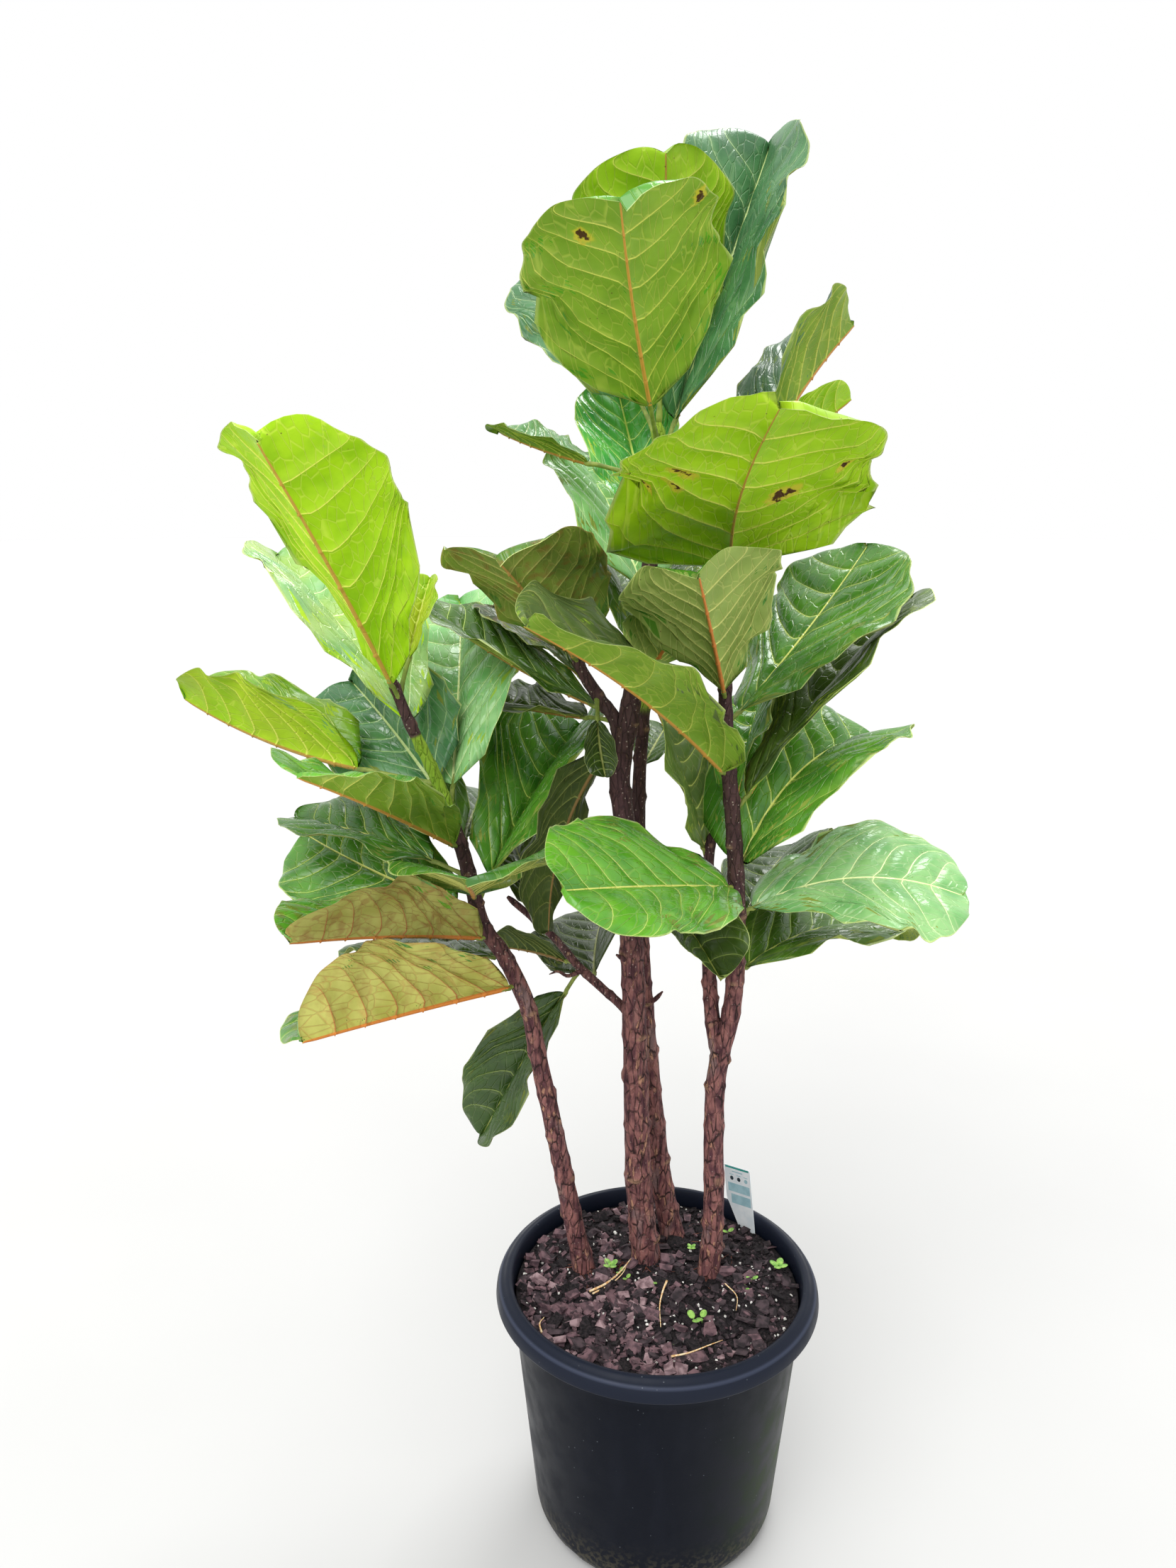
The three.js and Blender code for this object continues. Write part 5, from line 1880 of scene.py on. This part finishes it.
@dataclass
class Label:
    """Stake label with a plain coloured band and blocks, and no words. Millimetres."""

    width: float = 44.0
    top: float = 80.0
    shoulder: float = 34.0
    tip: float = 18.0
    buried: float = 25.0
    thickness: float = 0.8
    lean_back: float = 2.0
    lean_side: float = 10.0
    turn: float = -46.0
    foot: tuple[float, float, float] = (122.0, 120.0, 313.0)

    def placement(self) -> Matrix:
        """Where the card's own frame stands: x across, y up the card, z out of its face.

        Returns:
            The matrix from the card in millimetres to the plant in metres.
        """
        turn = Matrix.Rotation(math.radians(self.turn), 4, "Z")
        turn = turn @ Matrix.Rotation(math.radians(-self.lean_side), 4, "Y")
        lean = Matrix.Rotation(math.radians(90 - self.lean_back), 4, "X")
        return Matrix.Scale(MM, 4) @ Matrix.Translation(self.foot) @ turn @ lean

    def build(self, finishes: dict[str, bpy.types.Material]) -> bpy.types.Object:
        """Cut the card with one slanted side, round its corners, and print its band, dots and blocks.

        Args:
            finishes: Materials by name.

        Returns:
            The finished label.
        """
        piece = Piece("stake_label")
        piece.skins = [finishes["card"], finishes["teal_ink"], finishes["dark_ink"], finishes["pale_ink"]]
        half = self.width / 2
        outline = (
            (half - self.tip, -self.buried),
            (half, -self.buried),
            (half, self.top),
            (-half, self.top),
            (-half, self.shoulder),
        )
        corners = [piece.bm.verts.new((x, y, -self.thickness / 2)) for x, y in outline]
        piece.bm.faces.new(corners)
        bmesh.ops.bevel(
            piece.bm, geom=corners[2:5], offset=2.5, segments=4, profile=0.5, affect="VERTICES", material=-1
        )
        raised = bmesh.ops.extrude_face_region(piece.bm, geom=list(piece.bm.faces))["geom"]
        lifted = [item for item in raised if isinstance(item, bmesh.types.BMVert)]
        bmesh.ops.translate(piece.bm, vec=(0, 0, self.thickness), verts=lifted)
        self.print_block(piece, (0, self.top - 2.2), (self.width - 4, 2.6), 1)
        self.print_block(piece, (0, self.top - 7.5), (18, 1.4), 3)
        for i in (-1, 0, 1):
            self.print_dot(piece, (i * 12 + 2, self.top - 17), 2.9, 3 if i > 0 else 2)
            self.print_block(piece, (i * 12 + 2, self.top - 12), (7, 1.0), 3)
        self.print_block(piece, (1, self.top - 30), (37, 12), 3)
        self.print_block(piece, (3, self.top - 46), (33, 13), 3)
        bmesh.ops.transform(piece.bm, matrix=self.placement(), verts=piece.bm.verts)
        return piece.finish(["plant_label"], "label_card", smooth=False)

    def print_block(self, piece: Piece, centre: tuple[float, float], size: tuple[float, float], skin: int) -> None:
        """One printed bar on the card's face.

        Args:
            piece: The label's mesh.
            centre: Place on the card.
            size: Width and height.
            skin: Material index.
        """
        place = Matrix.Translation((*centre, self.thickness / 2 + 0.03)) @ Matrix.Diagonal((*size, 0.1, 1))
        piece.dress(bmesh.ops.create_cube(piece.bm, size=1.0, matrix=place)["verts"], skin)

    def print_dot(self, piece: Piece, centre: tuple[float, float], radius: float, skin: int) -> None:
        """One printed dot on the card's face.

        Args:
            piece: The label's mesh.
            centre: Place on the card.
            radius: Radius in millimetres.
            skin: Material index.
        """
        place = Matrix.Translation((*centre, self.thickness / 2 + 0.03))
        made = bmesh.ops.create_cone(
            piece.bm, cap_ends=True, segments=20, radius1=radius, radius2=radius, depth=0.1, matrix=place
        )
        piece.dress(made["verts"], skin)


# ---------------------------------------------------------------- studio


@dataclass
class Studio:
    """Pale floor, soft lights and the camera. Metres and degrees."""

    camera_place: tuple[float, float, float] = (-0.0857, -1.2865, 1.265)
    camera_pitch: float = 13.59
    lens: float = 27.03
    floor_reach: float = 40.0

    def build(self) -> None:
        """Set up the floor, the lights, the sky and the camera."""
        self.build_floor()
        self.add_light("front_skylight", (-1.4, -2.6, 4.0), 44, 1.75)
        self.add_light("back_skylight", (0.9, 2.0, 3.6), 26, 1.5)
        self.build_sky()
        self.build_camera()
        bpy.context.scene.view_settings.view_transform = "Standard"

    def build_floor(self) -> None:
        """Pale matt floor."""
        bm = bmesh.new()
        bmesh.ops.create_circle(bm, cap_ends=True, segments=96, radius=self.floor_reach)
        mesh = bpy.data.meshes.new("floor")
        bm.to_mesh(mesh)
        bm.free()
        floor = bpy.data.objects.new("floor", mesh)
        bpy.context.scene.collection.objects.link(floor)
        paint = Palette("pale_painted_floor")
        colour = paint.mix("#c6c6c5", "#c2c2c1", paint.noise(400, 2))
        mesh.materials.append(paint.finish(colour, 0.9, Specular_IOR_Level=0.0))

    def add_light(self, name: str, place: tuple[float, float, float], spread: float, strength: float) -> None:
        """One broad far light that shines from a place towards the origin, seen under an angle of spread degrees.

        Args:
            name: The light's name.
            place: Where it shines from.
            spread: Angle that it is seen under.
            strength: Its power.
        """
        lamp = bpy.data.lights.new(name, "SUN")
        lamp.angle = math.radians(spread)
        lamp.energy = strength
        holder = bpy.data.objects.new(name, lamp)
        holder.location = place
        holder.rotation_euler = (-Vector(place)).to_track_quat("-Z", "Y").to_euler()
        bpy.context.scene.collection.objects.link(holder)

    def build_sky(self) -> None:
        """Even white surroundings."""
        world = bpy.data.worlds.new("white_room")
        world.use_nodes = True
        sky = world.node_tree.nodes["Background"]
        sky.inputs["Color"].default_value = (1.0, 1.0, 1.0, 1.0)
        sky.inputs["Strength"].default_value = 1.0
        bpy.context.scene.world = world

    def build_camera(self) -> None:
        """Camera a little above the crown, tipped down."""
        lens = bpy.data.cameras.new("view")
        lens.lens = self.lens
        lens.sensor_width = 36
        camera = bpy.data.objects.new("view", lens)
        camera.location = self.camera_place
        camera.rotation_euler = (math.radians(90 - self.camera_pitch), 0, 0)
        bpy.context.scene.collection.objects.link(camera)
        bpy.context.scene.camera = camera


# ---------------------------------------------------------------- assembly


@dataclass
class Fig:
    """The whole potted plant."""

    slots: dict[str, str]

    def build(self) -> list[bpy.types.Object]:
        """Build every piece in order.

        Returns:
            All pieces.
        """
        pot = Pot()
        made = [pot.build(PotSkin().material())]
        made += Mix(pot).build(self.litter_finishes())
        bark = BarkSkin().material()
        made += [Trunk(stem).build(bark) for stem in STEMS]
        made.append(Label().build(self.label_finishes()))
        return made + self.build_leaves()

    def build_leaves(self) -> list[bpy.types.Object]:
        """Every leaf, sharing one material per skin.

        Returns:
            The leaves.
        """
        skins: dict[LeafSkin, bpy.types.Material] = {}
        # Living stalk: smooth and green with a dull shine.
        stalk = PlainSkin("green_stalk", "#93a04a", "#6f7f34", 9, 0.5, 0.15).material()
        made = []
        for number, leaf in enumerate(LEAVES, 1):
            for skin in (leaf.upper.value, leaf.under.value):
                if skin not in skins:
                    skins[skin] = skin.material()
            used = (skins[leaf.upper.value], skins[leaf.under.value], stalk)
            made.append(LeafBuilder(leaf, number).build(used, self.slots[f"leaf_{number:02d}"]))
        return made

    @staticmethod
    def litter_finishes() -> dict[str, bpy.types.Material]:
        """Finishes of what lies in the pot.

        Returns:
            Materials by name.
        """
        skins = {
            # Peat and fines, damp: near black with almost no gloss.
            "compost": PlainSkin("damp_compost", "#2c2528", "#0e0c0f", 3, 0.95, 1.2),
            # Milled pine bark: pinkish where freshly split, browner and darker as it rots.
            "chip_pink": PlainSkin("fresh_pine_bark", "#a0868a", "#6b5358", 9, 0.75, 0.5),
            "chip_red": PlainSkin("composted_pine_bark", "#765a60", "#443339", 9, 0.8, 0.5),
            "chip_brown": PlainSkin("weathered_pine_bark", "#4c3e43", "#251e22", 9, 0.85, 0.5),
            # Heat-puffed volcanic glass: chalky white.
            "perlite": PlainSkin("expanded_perlite", "#f0eeea", "#c3bfb8", 2, 0.8, 0.3),
            # Dead roots bleach to straw, living ones are red-brown.
            "root_pale": PlainSkin("dried_root", "#f3dfb8", "#d3a066", 3, 0.7, 0.2),
            "root_red": PlainSkin("living_fig_root", "#7c4636", "#4a2a22", 3, 0.75, 0.2),
            # Soft weed leaf: fresh green with a slight sheen.
            "seedling": PlainSkin("seedling_leaf", "#9cc862", "#6da046", 5, 0.45, 0.1),
        }
        return {name: skin.material() for name, skin in skins.items()}

    @staticmethod
    def label_finishes() -> dict[str, bpy.types.Material]:
        """Finishes of the label.

        Returns:
            Materials by name.
        """
        skins = {
            # Thin polystyrene sheet: cool white with a soft sheen, and inks that dry a little duller.
            "card": PlainSkin("printed_polystyrene_card", "#eef4f7", "#dfe9ee", 14, 0.42, 0.02),
            "teal_ink": PlainSkin("teal_ink", "#3aa39b", "#2f9089", 10, 0.45, 0.01),
            "dark_ink": PlainSkin("dark_ink", "#34464f", "#26343c", 10, 0.45, 0.01),
            "pale_ink": PlainSkin("pale_blue_ink", "#a9cfd8", "#98c0cb", 10, 0.45, 0.01),
        }
        return {name: skin.material() for name, skin in skins.items()}


def main() -> None:
    """Build the plant and its studio, and log the faces of each piece and the number of pieces."""
    logging.basicConfig(level=logging.INFO, format="%(name)s: %(message)s")
    slots = {part["node"]: part["material_slot"] for part in FRAME["record"]["subparts"]}
    made = Fig(slots).build()
    Studio().build()
    LOG.info("%d pieces", len(made))


if __name__ == "__main__":
    main()
